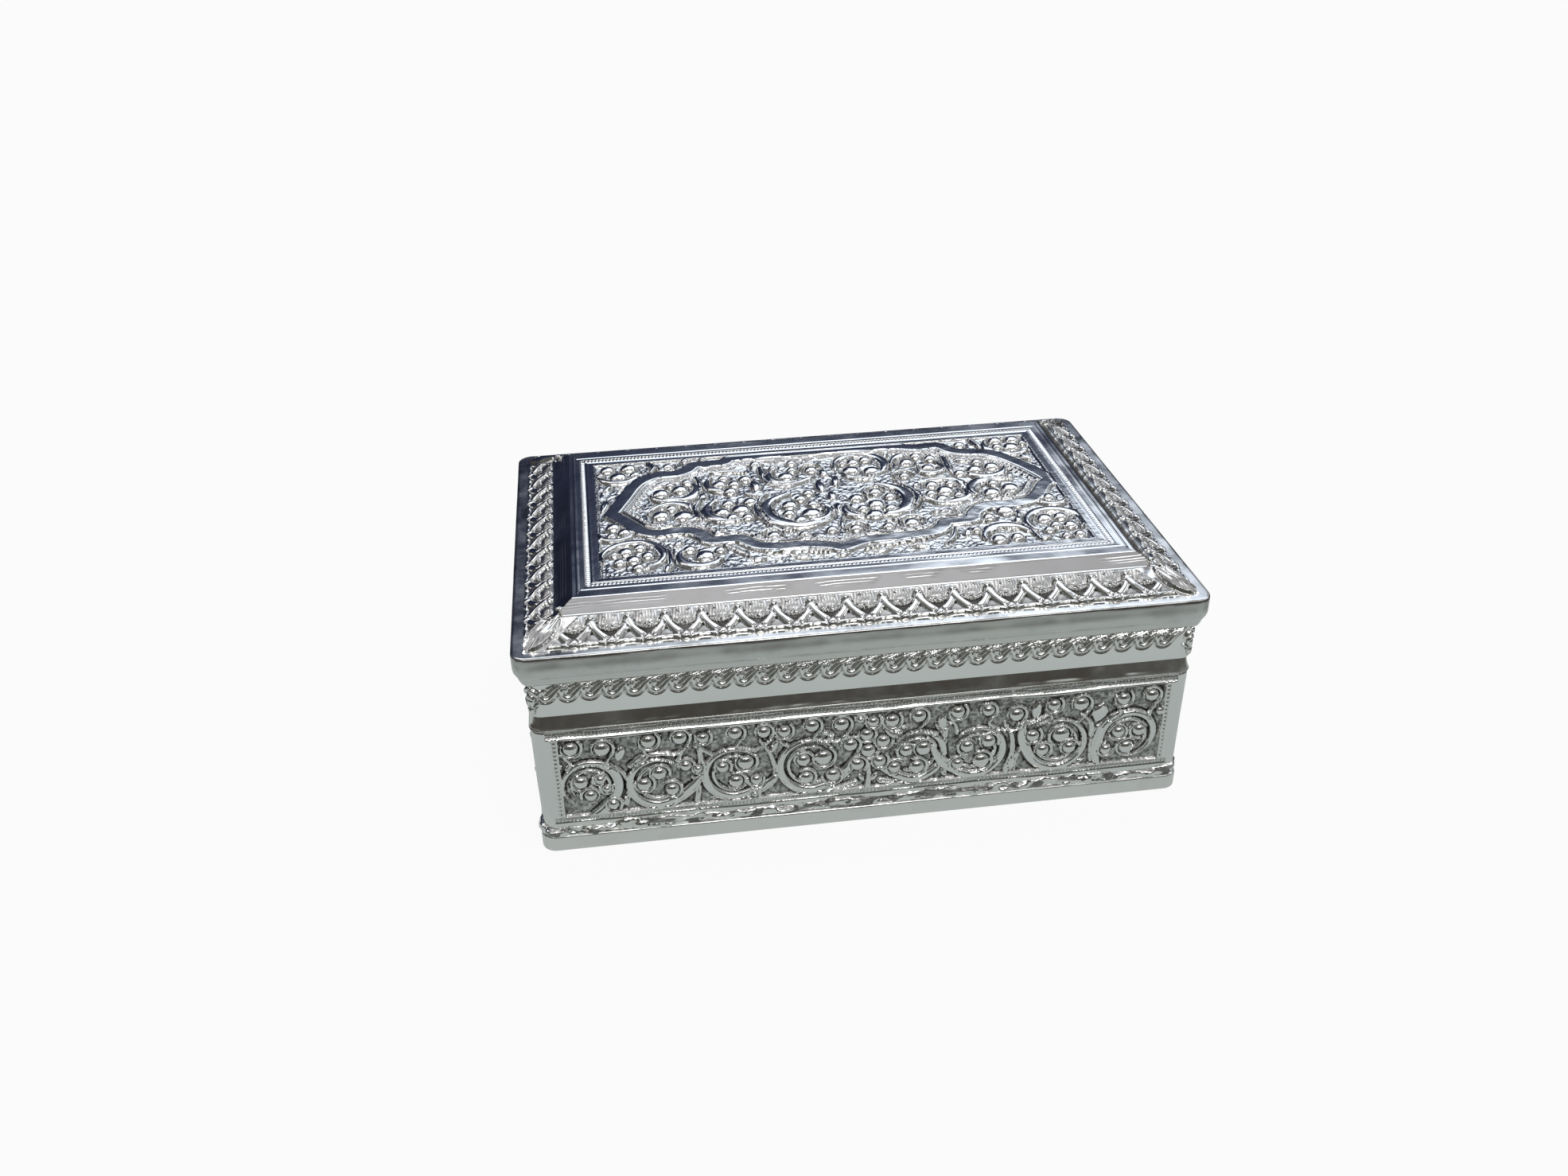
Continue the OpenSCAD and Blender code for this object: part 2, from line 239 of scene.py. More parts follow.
def dents(x, y, layers, side=0):
    # unevenness, from the rise, the size and the seed of each layer
    return sum(rise * smoothNoise(x, y, size, seed + side) for rise, size, seed in layers)


def ease(value, start, end):
    t = np.clip((value - start) / (end - start), 0, 1)
    return t * t * (3 - 2 * t)


def ridge(value, place, width, power=2):
    # 1 on the line, falling off to both sides
    return np.exp(-(((value - place) / width) ** power))


def teeth(run, pitch):
    return np.abs(np.sin(math.pi * run / pitch))


def roundLine(points, count=8):
    # smooth line through given points
    points = np.asarray(points, float)
    ends = np.vstack([2 * points[0] - points[1], points, 2 * points[-1] - points[-2]])
    t = np.linspace(0, 1, count, endpoint=False)[:, None]
    pieces = []
    for k in range(len(points) - 1):
        a, b, c, d = ends[k:k + 4]
        square, cube = 2 * a - 5 * b + 4 * c - d, 3 * b - a - 3 * c + d
        pieces.append(0.5 * (2 * b + (c - a) * t + square * t ** 2 + cube * t ** 3))
    return np.vstack(pieces + [points[-1:]])


def curl(x, y, fromRadius, toRadius, start, sweep, count=26):
    t = np.linspace(0, 1, count)
    angle = np.radians(start + sweep * t)
    radius = fromRadius + (toRadius - fromRadius) * t ** 0.8
    return np.stack([x + radius * np.cos(angle), y + radius * np.sin(angle)], axis=-1)


# chasing: strokes, buds and scrolls pushed into a field of heights
def newField(x, y):
    return {"x": x, "y": y, "h": np.zeros_like(x)}


def window(field, x0, x1, y0, y1):
    first, last, rows = field["x"][0], field["x"][-1], field["y"][:, 0]
    i0 = min(np.searchsorted(first, x0), np.searchsorted(last, x0))
    i1 = max(np.searchsorted(first, x1), np.searchsorted(last, x1))
    j0, j1 = np.searchsorted(rows, y0), np.searchsorted(rows, y1)
    return slice(j0, j1 + 1), slice(i0, i1 + 1)


def around(field, line, margin):
    (x0, y0), (x1, y1) = line.min(0) - margin, line.max(0) + margin
    return window(field, x0, x1, y0, y1)


def nearLine(x, y, line):
    # distance to a line, the same signed by side, and the share of the line's length
    line = np.asarray(line, float)
    start, step = line[:-1], line[1:] - line[:-1]
    long = (step ** 2).sum(1) + 1e-9
    px, py = x[..., None] - start[:, 0], y[..., None] - start[:, 1]
    t = np.clip((px * step[:, 0] + py * step[:, 1]) / long, 0, 1)
    dx, dy = px - t * step[:, 0], py - t * step[:, 1]
    away = dx * dx + dy * dy
    k = away.argmin(-1)[..., None]
    gap = np.sqrt(np.take_along_axis(away, k, -1))[..., 0]
    turn = np.take_along_axis(step[:, 0] * dy - step[:, 1] * dx, k, -1)[..., 0]
    share = (k[..., 0] + np.take_along_axis(t, k, -1)[..., 0]) / len(start)
    return gap, np.sign(turn) * gap, share


def halfWidth(share, width):
    # widths are spaced evenly along the line
    return np.interp(share, np.linspace(0, 1, len(width)), width)


def stroke(field, line, width, height, grooves=(), moat=0.12, soft=False):
    # stem of tapering half width, with fine lines cut along it and a channel beside it
    part = around(field, line, max(width) * 1.9)
    x, y, h = field["x"][part], field["y"][part], field["h"][part]
    if x.size == 0:
        return
    gap, offset, share = nearLine(x, y, line)
    half = halfWidth(share, width)
    q = gap / half
    if soft:
        lift = height * np.cos(np.clip(q, 0, 1) * math.pi / 2) ** 1.5
    else:
        lift = height * np.clip(1 - q ** 3.2, 0, 1) ** 0.55
    for place in grooves:
        lift -= 0.4 * height * ridge(offset / half, place, 0.15) * (q < 1)
    low = h - moat * (1 - ease(q, 1.0, 1.7))
    field["h"][part] = np.where(q < 1, np.maximum(h * 0.3, lift), low)


def cut(field, line, wide, depth, dark):
    # thin line pushed in, and darkened along it as painted shade
    part = around(field, line, 1)
    if field["x"][part].size == 0:
        return
    fall = ridge(nearLine(field["x"][part], field["y"][part], line)[0], 0, wide)
    field["h"][part] -= depth * fall
    field["ground"][part] = np.maximum(field["ground"][part], dark * fall)


def dome(field, x, y, radius, height, moat=0.14):
    part = around(field, np.array([[x, y]]), radius * 1.6)
    h = field["h"][part]
    if h.size == 0:
        return
    q = np.hypot(field["x"][part] - x, field["y"][part] - y) / radius
    lift = height * np.sqrt(np.clip(1 - q ** 2.1, 0, 1))
    field["h"][part] = np.where(q < 1, np.maximum(lift, 0.02), h - moat * (1 - ease(q, 1.0, 1.5)))


def bud(field, x, y, radius, height, start, hand):
    # dome in the crook of a hooked stem
    hook = curl(x, y, radius * 1.24, radius * 1.02, start, hand * 250)
    stroke(field, hook, (0.34, 0.34, 0.18), height * 0.55, (), 0.14)
    dome(field, x, y, radius * 0.84, height, 0.12)


def roundel(field, x, y, radius, root, hand, places, height):
    # large scroll: a grooved band that swings in from outside its root, a thinner one within, and buds
    t = np.linspace(-1, 1, 60)
    angle = np.radians(root + hand * np.where(t < 0, 62 * t, 275 * t))
    reach = radius * np.where(t < 0, 0.96 + 0.5 * np.abs(t) ** 1.7, 0.96 - 0.14 * np.clip(t, 0, 1))
    line = np.stack([x + reach * np.cos(angle), y + reach * np.sin(angle)], axis=-1)
    stroke(field, line, (0.5, 1.0, 1.05, 0.9, 0.6, 0.15), height * 0.6, (0.42,), 0.26)
    within = curl(x, y, radius * 0.93 - 1.35, radius * 0.82 - 1.35, root + hand * 10, hand * 250, 36)
    stroke(field, within, (0.34, 0.34, 0.2), height * 0.5, (), 0.2)
    for k, (px, py, size) in enumerate(places):
        bud(field, px, py, size, height, root + 40 + 67 * k, hand if k % 3 else -hand)


def crescent(field, x, y, radius, start, sweep, wide, height):
    # scroll that swells in the middle, with a thin line inside it
    outer = curl(x, y, radius, radius * 0.94, start, sweep, 34)
    stroke(field, outer, (wide * 0.35, wide * 1.2, wide * 1.25, wide * 0.35), height, (), 0.26)
    inner = curl(x, y, radius - wide - 0.42, radius - wide - 0.5, start + sweep * 0.16, sweep * 0.72, 26)
    stroke(field, inner, (0.16, 0.26, 0.14), height * 0.75, (), 0.1, True)


def leaf(field, x, y, length, width, turn, height):
    # pointed leaf with a middle rib
    part = around(field, np.array([[x, y]]), length * 0.7)
    dx, dy, h = field["x"][part] - x, field["y"][part] - y, field["h"][part]
    if dx.size == 0:
        return
    c, s = math.cos(math.radians(turn)), math.sin(math.radians(turn))
    a, b = (dx * c + dy * s) / length * 2, (dy * c - dx * s) / width * 2
    edge = np.clip(1 - a * a, 0, 1)
    q = np.abs(b) / np.maximum(edge, 1e-3)
    lift = height * np.sqrt(np.clip(1 - q ** 2, 0, 1)) * edge ** 0.4 - 0.12 * ridge(b, 0, 0.16) * edge
    within = (q < 1) & (np.abs(a) < 1)
    beside = h - 0.1 * (1 - ease(q, 1.0, 1.8)) * (np.abs(a) < 1)
    field["h"][part] = np.where(within, np.maximum(lift, 0.02), beside)


def hollows(field, spread):
    # how far each point lies below its surroundings
    h = field["h"]
    padded = np.pad(h, spread, mode="edge")
    total = np.pad(padded.cumsum(0).cumsum(1), ((1, 0), (1, 0)))
    size = 2 * spread + 1
    block = total[size:, size:] - total[:-size, size:] - total[size:, :-size] + total[:-size, :-size]
    return np.clip((block / size ** 2 - h) / 0.3, 0, 1)


def storeHollowsAndShade(obj, field, spread):
    # kept on the points for the oxide left in the recesses, together with the field's own darkening, which on the
    # petals and the skirt's cuts is painted shade
    values = hollows(field, spread)
    if "ground" in field:
        values = np.maximum(values, field["ground"])
    attribute = obj.data.attributes.new("hollow", "FLOAT", "POINT")
    full = np.zeros(len(obj.data.vertices))
    full[:values.size] = values.reshape(-1)
    attribute.data.foreach_set("value", full)


# material nodes
def newMaterial(name):
    material = bpy.data.materials.new(name)
    material.use_nodes = True
    tree = material.node_tree
    return material, tree, tree.nodes["Principled BSDF"]


def fill(tree, socket, value):
    # a link from another socket, or a plain value
    if isinstance(value, bpy.types.NodeSocket):
        tree.links.new(value, socket)
    elif socket.type == "RGBA":
        socket.default_value = (*value, 1)
    else:
        socket.default_value = value


def addNode(tree, kind, **inputs):
    node = tree.nodes.new(kind)
    for key, value in inputs.items():
        fill(tree, node.inputs[key.replace("_", " ")], value)
    return node


def noise(tree, place, scale, detail, **more):
    return addNode(tree, "ShaderNodeTexNoise", Vector=place, Scale=scale, Detail=detail, **more).outputs["Fac"]


def bump(tree, height, strength, distance, **more):
    node = addNode(tree, "ShaderNodeBump", Height=height, Strength=strength, Distance=distance, **more)
    return node.outputs["Normal"]


def ramp(tree, source, stops):
    node = addNode(tree, "ShaderNodeValToRGB", Fac=source)
    while len(node.color_ramp.elements) < len(stops):
        node.color_ramp.elements.new(0.5)
    for element, (place, colour) in zip(node.color_ramp.elements, stops):
        element.position = place
        element.color = (*colour, 1)
    return node.outputs["Color"]


def blendMath(tree, operation, a, b, clamp=False):
    node = tree.nodes.new("ShaderNodeMath")
    node.operation = operation
    node.use_clamp = clamp
    for socket, value in zip(node.inputs, (a, b)):
        fill(tree, socket, value)
    return node.outputs[0]


def scatter(tree, source, amount):
    # noise round zero
    return blendMath(tree, "MULTIPLY", blendMath(tree, "SUBTRACT", source, 0.5), amount)


def vectorMath(tree, operation, *values):
    node = tree.nodes.new("ShaderNodeVectorMath")
    node.operation = operation
    for socket, value in zip(node.inputs, values):
        fill(tree, socket, value)
    return node


def mixColour(tree, under, over, factor, mode="MIX"):
    node = tree.nodes.new("ShaderNodeMix")
    node.data_type, node.blend_type = "RGBA", mode
    for key, value in (("Factor", factor), ("A", under), ("B", over)):
        fill(tree, node.inputs[key], value)
    return node.outputs["Result"]


def easeNode(tree, source, low, high):
    node = addNode(tree, "ShaderNodeMapRange", Value=source, From_Min=low, From_Max=high)
    node.interpolation_type = "SMOOTHSTEP"
    return node.outputs["Result"]


def mixShader(tree, factor, first, second):
    node = tree.nodes.new("ShaderNodeMixShader")
    for socket, value in zip(node.inputs, (factor, first, second)):
        fill(tree, socket, value)
    return node.outputs[0]


def ownPlace(tree):
    return tree.nodes.new("ShaderNodeTexCoord").outputs["Object"]


silver = {
    "bright": (0.90, 0.90, 0.885), "warm": (0.84, 0.83, 0.80), "grey": (0.55, 0.55, 0.54), "oxide": (0.12, 0.115, 0.11),
    "polish": 0.09, "sheet": 0.14, "stipple": 2600,
    # painted reflection on the rim: its face is darkened towards its top edge as painted shade, and the flange's top is
    # left full: height in shares of 50 mm, and how much light is left
    "rim": [
        (0.70, (0.9, 0.9, 0.9)), (0.745, (0.84, 0.85, 0.845)), (0.80, (0.62, 0.625, 0.615)),
        (0.812, (0.6, 0.6, 0.6)), (0.818, (1, 1, 1))],
}


def plainSilver(name, polish, waves=0.25, tarnish=0.35, shades=None):
    # rubbed sheet: faint tarnish clouds, hammered unevenness and hairline scratches
    material, tree, shader = newMaterial(name)
    shader.inputs["Metallic"].default_value = 1.0
    place = ownPlace(tree)
    cloud = noise(tree, place, 140.0, 5.0, Roughness=0.62)
    swell = noise(tree, place, 90.0, 1.5)
    scratch = addNode(tree, "ShaderNodeTexWave", Vector=place, Scale=260.0, Distortion=22.0, Detail=3.0)
    scratch.bands_direction = "DIAGONAL"
    stops = [(0.3, "warm"), (0.5, "bright"), (0.72, "bright"), (0.86, "grey")]
    colour = ramp(tree, cloud, [(share, silver[tone]) for share, tone in stops])
    # painted shade by height, multiplied into the colour, blurred a little by the tarnish clouds
    if shades:
        height = addNode(tree, "ShaderNodeSeparateXYZ", Vector=place).outputs[2]
        level = blendMath(tree, "ADD", blendMath(tree, "MULTIPLY", height, 20.0), scatter(tree, cloud, 0.06))
        colour = mixColour(tree, colour, ramp(tree, level, shades), 1.0, "MULTIPLY")
    fill(tree, shader.inputs["Base Color"], colour)
    worn = polish + tarnish * 0.3
    fill(tree, shader.inputs["Roughness"], ramp(tree, cloud, [(0.35, (polish,) * 3), (0.8, (worn,) * 3)]))
    lines = blendMath(tree, "MULTIPLY", scratch.outputs["Fac"], noise(tree, place, 1400.0, 3.0))
    normal = bump(tree, lines, 0.05, 0.00003)
    fill(tree, shader.inputs["Normal"], bump(tree, swell, waves, 0.0006, Normal=normal))
    return material


def chasedSilver(name, polish, stipple=0.6, oxide=1.0):
    # chased sheet: bright on the buds and stems, oxidised and punched in the ground
    material, tree, shader = newMaterial(name)
    shader.inputs["Metallic"].default_value = 1.0
    place = ownPlace(tree)
    hollow = tree.nodes.new("ShaderNodeAttribute")
    hollow.attribute_name = "hollow"
    depth = hollow.outputs["Fac"]
    stain = scatter(tree, noise(tree, place, 420.0, 4.0), 0.5)
    # oxide in the recesses, and painted shade on the petals and the skirt's cuts, darken the colour and roughen it
    oxideAndShadeShare = blendMath(tree, "ADD", blendMath(tree, "MULTIPLY", depth, oxide), stain, True)
    stops = [(0.12, "bright"), (0.4, "warm"), (0.65, "grey"), (1.0, "oxide")]
    fill(tree, shader.inputs["Base Color"], ramp(tree, oxideAndShadeShare, [(share, silver[tone]) for share, tone in stops]))
    fill(tree, shader.inputs["Roughness"], ramp(tree, oxideAndShadeShare, [(0.1, (polish,) * 3), (0.9, (0.42,) * 3)]))
    punch = addNode(tree, "ShaderNodeTexVoronoi", Vector=place, Scale=silver["stipple"]).outputs["Distance"]
    pits = bump(tree, punch, blendMath(tree, "MULTIPLY", easeNode(tree, depth, 0.08, 0.4), stipple), 0.00008)
    fill(tree, shader.inputs["Normal"], bump(tree, noise(tree, place, 500.0, 2.0), 0.12, 0.0002, Normal=pits))
    return material


def velvetCloth(name):
    material, tree, shader = newMaterial(name)
    place = ownPlace(tree)
    crush = noise(tree, place, 120.0, 3.0, Distortion=0.6)
    colour = ramp(tree, crush, [(0.3, (0.10, 0.006, 0.014)), (0.55, (0.19, 0.012, 0.026)), (0.75, (0.27, 0.02, 0.04))])
    fill(tree, shader.inputs["Base Color"], colour)
    shader.inputs["Roughness"].default_value = 0.9
    shader.inputs["Sheen Weight"].default_value = 0.8
    shader.inputs["Sheen Roughness"].default_value = 0.4
    shader.inputs["Sheen Tint"].default_value = (0.75, 0.25, 0.3, 1)
    fill(tree, shader.inputs["Normal"], bump(tree, noise(tree, place, 5200.0, 2.0), 0.35, 0.0001))
    return material


addCamera()
polished = plainSilver("polishedSilver", silver["polish"])
sheetSilver = plainSilver("sheetSilver", silver["sheet"], 0.4, 0.6)
rimSilver = plainSilver("rimSilver", silver["sheet"], 0.4, 0.6, silver["rim"])
chased = chasedSilver("chasedSilver", 0.13)
lidChased = chasedSilver("lidChasedSilver", 0.1, 0.5, 0.85)
petalSilver = chasedSilver("petalSilver", 0.1, 0.0, 1.0)
velvet = velvetCloth("redVelvet")
print("camera and materials ready")


# walls: scrolls with buds between milled borders
wall = {
    "low": 4.6, "high": 25.5, "lowInset": 2.2, "highInset": 1.75, "leastInset": 0.9, "mostInset": 3.1, "inner": 3.4,
    "sink": 0.5, "height": 0.98, "fieldLow": 7.0, "fieldHigh": 23.1, "fieldEnd": 6.2, "step": 0.153, "rise": 0.17,
    "topRow": 24.35, "topPitch": 0.62, "lowRow": 6.15, "lowPitch": 0.66, "postEnd": 5.5, "postPitch": 0.85,
    "borderEnd": 4.2, "joint": -30.3, "upperBuds": 19,
    # unevenness: rise, size, first seed
    "wobble": [(0.28, 11, 5)], "grain": [(0.12, 0.36, 11), (0.08, 0.9, 21)], "waves": [(0.05, 7, 31)],
    "tarnish": 0.72, "blotches": [(0.25, 0.45, 41)],
    # half width, height of the teeth, depth and ends of the trough that they stand in
    "topMill": (0.28, 0.3, 0.3, (-0.75, -0.45)), "lowMill": (0.24, 0.24, 0.24, (-0.6, -0.3)),
    "postMill": (0.26, 0.24, 0.16, (-0.5, -0.3)),
}
# roundels of the long walls: place, height, radius, root, hand, buds inside
longRoundels = [
    (-49.2, 13.0, 5.4, -45, 1, [(-50.6, 13.9, 1.55), (-47.2, 14.2, 1.15), (-46.2, 12.2, 1.0), (-49.1, 10.9, 1.4)]),
    (-37.3, 12.6, 5.5, -55, -1, [(-37.0, 14.3, 1.55), (-39.7, 12.2, 1.55), (-34.9, 10.6, 1.5)]),
    (-23.9, 13.0, 5.7, -70, -1, [(-25.9, 14.3, 1.35), (-21.8, 14.8, 1.75), (-23.6, 10.9, 1.55), (-20.0, 10.9,
        1.3)]),
    (-10.3, 13.1, 6.1, -50, -1, [(-11.6, 14.1, 1.5), (-8.0, 14.2, 1.85), (-11.1, 10.2, 1.55), (-6.3, 10.2, 1.6)]),
    (8.7, 13.1, 5.6, -130, 1, [(6.9, 14.0, 1.45), (10.1, 14.1, 1.75), (4.8, 10.6, 1.4), (8.9, 10.2, 1.65)]),
    (19.6, 12.7, 5.6, -130, 1, [(18.0, 13.6, 1.5), (21.9, 14.3, 1.55), (16.4, 10.0, 1.35), (20.7, 10.1, 1.8)]),
    (34.6, 12.6, 5.8, 200, 1, [(35.3, 14.1, 1.9), (32.0, 11.2, 1.45), (37.0, 11.2, 1.5)]),
    (47.8, 12.6, 5.5, 170, -1, [(46.0, 13.6, 1.45), (49.9, 13.6, 1.5), (43.9, 10.0, 1.3), (47.8, 10.0, 1.65)]),
]
# place, height, radius
longBuds = [
    (-45.3, 8.6, 1.25), (-32.3, 15.4, 1.3), (-30.2, 14.6, 1.0), (0, 14.8, 1.6), (-0.3, 18.3, 1.45),
    (-3.2, 16.4, 1.55), (2.7, 16.6, 1.5), (-1.9, 12.0, 1.5), (2.1, 12.3, 1.4), (-20.4, 7.9, 0.8), (30.0, 14.5, 1.45),
    (-51.8, 21.2, 1.6), (-46.5, 20.6, 1.7), (-38.5, 21.3, 1.6), (-33.1, 21.4, 1.55), (-29.1, 21.0, 1.3),
    (-23.5, 21.3, 1.5), (-18.5, 21.0, 1.45), (-14.9, 20.7, 1.4), (-10.0, 21.3, 1.5), (-4.8, 21.0, 1.6),
    (-1.5, 21.8, 0.9), (0.8, 21.0, 1.3), (4.2, 20.8, 1.55), (9.0, 21.2, 1.55), (16.0, 21.3, 1.5), (21.5, 21.0, 1.4),
    (26.7, 19.5, 1.6), (33.5, 20.8, 1.45), (38.5, 20.5, 1.7), (46.3, 20.8, 1.5), (51.5, 21.0, 1.5),
]
longStems = [
    [(-43.0, 8.6), (-42.4, 11.5), (-43.2, 15.0), (-45.6, 17.4)],
    [(-41.8, 16.5), (-39.6, 18.2), (-36.5, 18.5), (-33.8, 18.2), (-31.8, 19.6)],
    [(-30.6, 7.6), (-30.2, 11.0), (-31.3, 13.0)], [(-29.6, 15.8), (-29.8, 18.2), (-30.6, 19.4)],
    [(-17.6, 9.0), (-16.6, 12.0), (-17.4, 16.0), (-19.2, 19.2)], [(-2.2, 8.0), (-5.2, 7.4), (-9.0, 7.3)],
    [(2.2, 8.0), (5.2, 7.4), (8.5, 7.3)], [(0, 7.2), (0.2, 9.4), (0, 12.8)],
    [(14.0, 8.2), (13.5, 12.0), (13.8, 16.0), (12.2, 18.8)], [(13.8, 16.5), (14.2, 18.5), (15.6, 19.6)],
    [(25.4, 7.4), (26.4, 11.5), (26.0, 15.5), (24.6, 18.0)], [(26.6, 7.4), (27.2, 10.5), (28.6, 12.8), (31.4, 13.6)],
    [(41.4, 8.0), (41.2, 12.0), (42.2, 15.2), (44.5, 17.4)], [(41.0, 13.5), (40.6, 16.2), (38.6, 18.4)],
    [(-6.8, 18.3), (-6.6, 19.2), (-7.8, 19.9)], [(27.4, 17.0), (29.6, 17.6), (31.6, 18.4), (33.0, 19.0)],
    [(5.6, 18.2), (4.2, 18.8), (3.2, 19.8)],
]
# place, height, length, width, turn
longLeaves = [
    (-43.5, 19.2, 3.4, 1.8, 70), (13.3, 19.4, 3.8, 1.8, 95), (30.4, 20.0, 4.2, 1.8, 80), (42.2, 18.2, 4.4, 3.0, 75),
    (26.4, 9.0, 3.2, 1.5, 90), (-16.6, 17.8, 3.0, 1.2, 70), (-7.4, 19.4, 2.2, 0.9, -20), (6.2, 19.2, 2.4, 0.9, 10),
    (-27.0, 7.9, 2.6, 1.0, 15), (38.6, 7.9, 3.0, 1.0, 12), (-54.0, 17.6, 1.8, 1.2, 80), (53.3, 17.2, 1.8, 1.2, 100),
    (1.2, 9.0, 2.2, 1.0, 60), (-1.2, 9.0, 2.2, 1.0, 120), (-34.6, 8.0, 2.6, 0.9, 20),
]
# the sides take the front's ornament shifted or mirrored, on a coarser grid
wallPlans = [
    {"shift": 0, "flip": 1, "coarse": 1.0},
    {"shift": -4.5, "flip": 1, "coarse": 1.14},
    {"shift": 0, "flip": -1, "coarse": 1.14},
    {"shift": 4.5, "flip": -1, "coarse": 1.14},
]


def wallScrolls(field, side, edge):
    plan = wallPlans[side]
    flip, height = plan["flip"], wall["height"]

    def lay(px):
        return flip * px + plan["shift"]

    def kept(px, reach):
        return abs(lay(px)) < edge + 1 - reach

    roundels = [place for place in longRoundels if kept(place[0], place[2])]
    for stem in longStems:
        line = np.array([(lay(px), pz) for px, pz in stem])
        if all(abs(line[:, 0]) < edge - 0.3):
            stroke(field, roundLine(line), (0.62, 0.34), height * 0.6, (0.0,))
    for px, pz, length, width, turn in longLeaves:
        if kept(px, width / 2):
            leaf(field, lay(px), pz, length, width, turn if flip > 0 else 180 - turn, height * 0.6)
    for px, pz, radius, root, hand, places in roundels:
        within = [(lay(bx), bz, br) for bx, bz, br in places]
        roundel(field, lay(px), pz, radius, root if flip > 0 else 180 - root, hand * flip, within, height)
    for px, pz, radius in longBuds:
        if not kept(px, radius):
            continue
        cx, cz, reach = min(roundels, key=lambda place: abs(place[0] - px))[:3]
        lean = 1 if px > cx else -1
        if pz > wall["upperBuds"] and abs(px - cx) < reach + 2:
            foot = np.radians(90 - lean * 42)
            stem = [
                (cx + reach * 0.98 * math.cos(foot), cz + reach * 0.98 * math.sin(foot)),
                (px + lean * radius * 0.2, pz - radius * 1.9), (px + lean * radius * 1.05, pz - radius * 0.7),
            ]
            stroke(field, roundLine([(lay(sx), sz) for sx, sz in stem]), (0.4, 0.3), height * 0.55, (0.0,))
        bud(field, lay(px), pz, radius, height, -45 * lean if flip > 0 else 180 + 45 * lean, lean * flip)


def milled(off, cogs, mill):
    width, tall, deep, ends = mill
    return tall * cogs * ridge(off, 0, width) - deep * ease(-np.abs(off), *ends)


def wallRelief(field, side):
    # scrolls on a granular ground, inside milled borders
    x, z = field["x"], field["y"]
    half = sideLength(side) / 2
    edge = half - wall["fieldEnd"]
    wobble = dents(x, 0 * x, wall["wobble"], side)
    inside = ease(z, wall["fieldLow"] - 0.15, wall["fieldLow"] + 0.15)
    inside = inside * (1 - ease(z - wobble, wall["fieldHigh"] - 0.15, wall["fieldHigh"] + 0.15))
    inside = inside * (1 - ease(np.abs(x), edge - 0.2, edge + 0.1))
    field["h"][:] = dents(x, z, wall["grain"], side)
    wallScrolls(field, side, edge)
    tarnish = (wall["tarnish"] + dents(x, z, wall["blotches"], side)) * inside * (1 - ease(field["h"], 0.16, 0.3))
    rise = field["h"] * inside
    # milled rows at the top, the bottom and both ends
    top, low = wall["topRow"] + wobble * 0.6, wall["lowRow"] + 0.5 * wobble
    post = np.abs(x) - (half - wall["postEnd"])
    topTeeth = np.abs(np.sin(math.pi * x / wall["topPitch"] + 0.8 * wobble))
    lowTeeth, postTeeth = teeth(x, wall["lowPitch"]), teeth(z, wall["postPitch"])
    tall = ease(z, 6.4, 6.9) * (1 - ease(z, 23.4, 23.9))
    line = 0.12 * ridge(z, 23.4 + wobble, 0.22) + milled(z - top, topTeeth, wall["topMill"])
    line += 0.1 * ridge(z, 6.95, 0.2) + milled(z - low, lowTeeth, wall["lowMill"])
    rails = 0.16 * ridge(np.abs(post), 0.62, 0.16)
    line += tall * (rails + milled(post, postTeeth, wall["postMill"]))
    bordered = np.abs(x) < half - wall["borderEnd"]
    # solder joint across the bottom border
    joint = ridge(x, wall["joint"] + 0.2 * (z - 7), 0.22) * (1 - ease(z, 7.6, 9.0)) * (side == 0)
    dark = np.maximum(0.9 * ridge(z, 25.0, 0.17), ridge(z, top, 0.5, 4) * (0.85 - 0.45 * topTeeth))
    dark = np.maximum(dark, ridge(z, low, 0.4, 4) * (0.8 - 0.5 * lowTeeth))
    dark = np.maximum(dark, tall * 0.6 * ridge(post, 0, 0.4, 4) * (1 - postTeeth))
    field["ground"] = np.maximum(tarnish, dark * bordered)
    plain = dents(x, z, wall["waves"], side) * (1 - inside)
    field["h"] = rise - inside * wall["sink"] + line * bordered - 0.18 * joint + plain - 0.15 * ease(z, 24.95, 25.25)


def makeWall(side):
    halfWalk = walkLength(side, box["bodyCorner"], 2.0)
    coarse, high = wallPlans[side]["coarse"], wall["high"] - wall["low"]
    columns, rows = int(2 * halfWalk / wall["step"] / coarse), int(high / wall["rise"] / coarse)
    obj, u, v = newGrid("chased_wall_" + sideNames[side], columns, rows)
    walk = u * halfWalk
    z = wall["low"] + (v + 1) / 2 * high
    field = newField(walk, z)
    wallRelief(field, side)
    lean = wall["lowInset"] + (wall["highInset"] - wall["lowInset"]) * (z - wall["low"]) / high
    inset = np.clip(lean - field["h"], wall["leastInset"], wall["mostInset"])
    along, depth = cornerPath(side, walk, inset, box["bodyCorner"], halfWalk)
    setPlaces(obj, toBox(side, along, depth, z))
    inner = sideLength(side) / 2 - wall["inner"]

    def back(places):
        a, b, c = fromBox(side, places)
        return toBox(side, np.clip(a, -inner, inner), 0 * b + wall["inner"], c)

    closeBack(obj, back)
    finishChased(obj, field, 5, chased, "box", ["wall_" + sideNames[side]])


for side in range(4):
    makeWall(side)
print("walls chased")


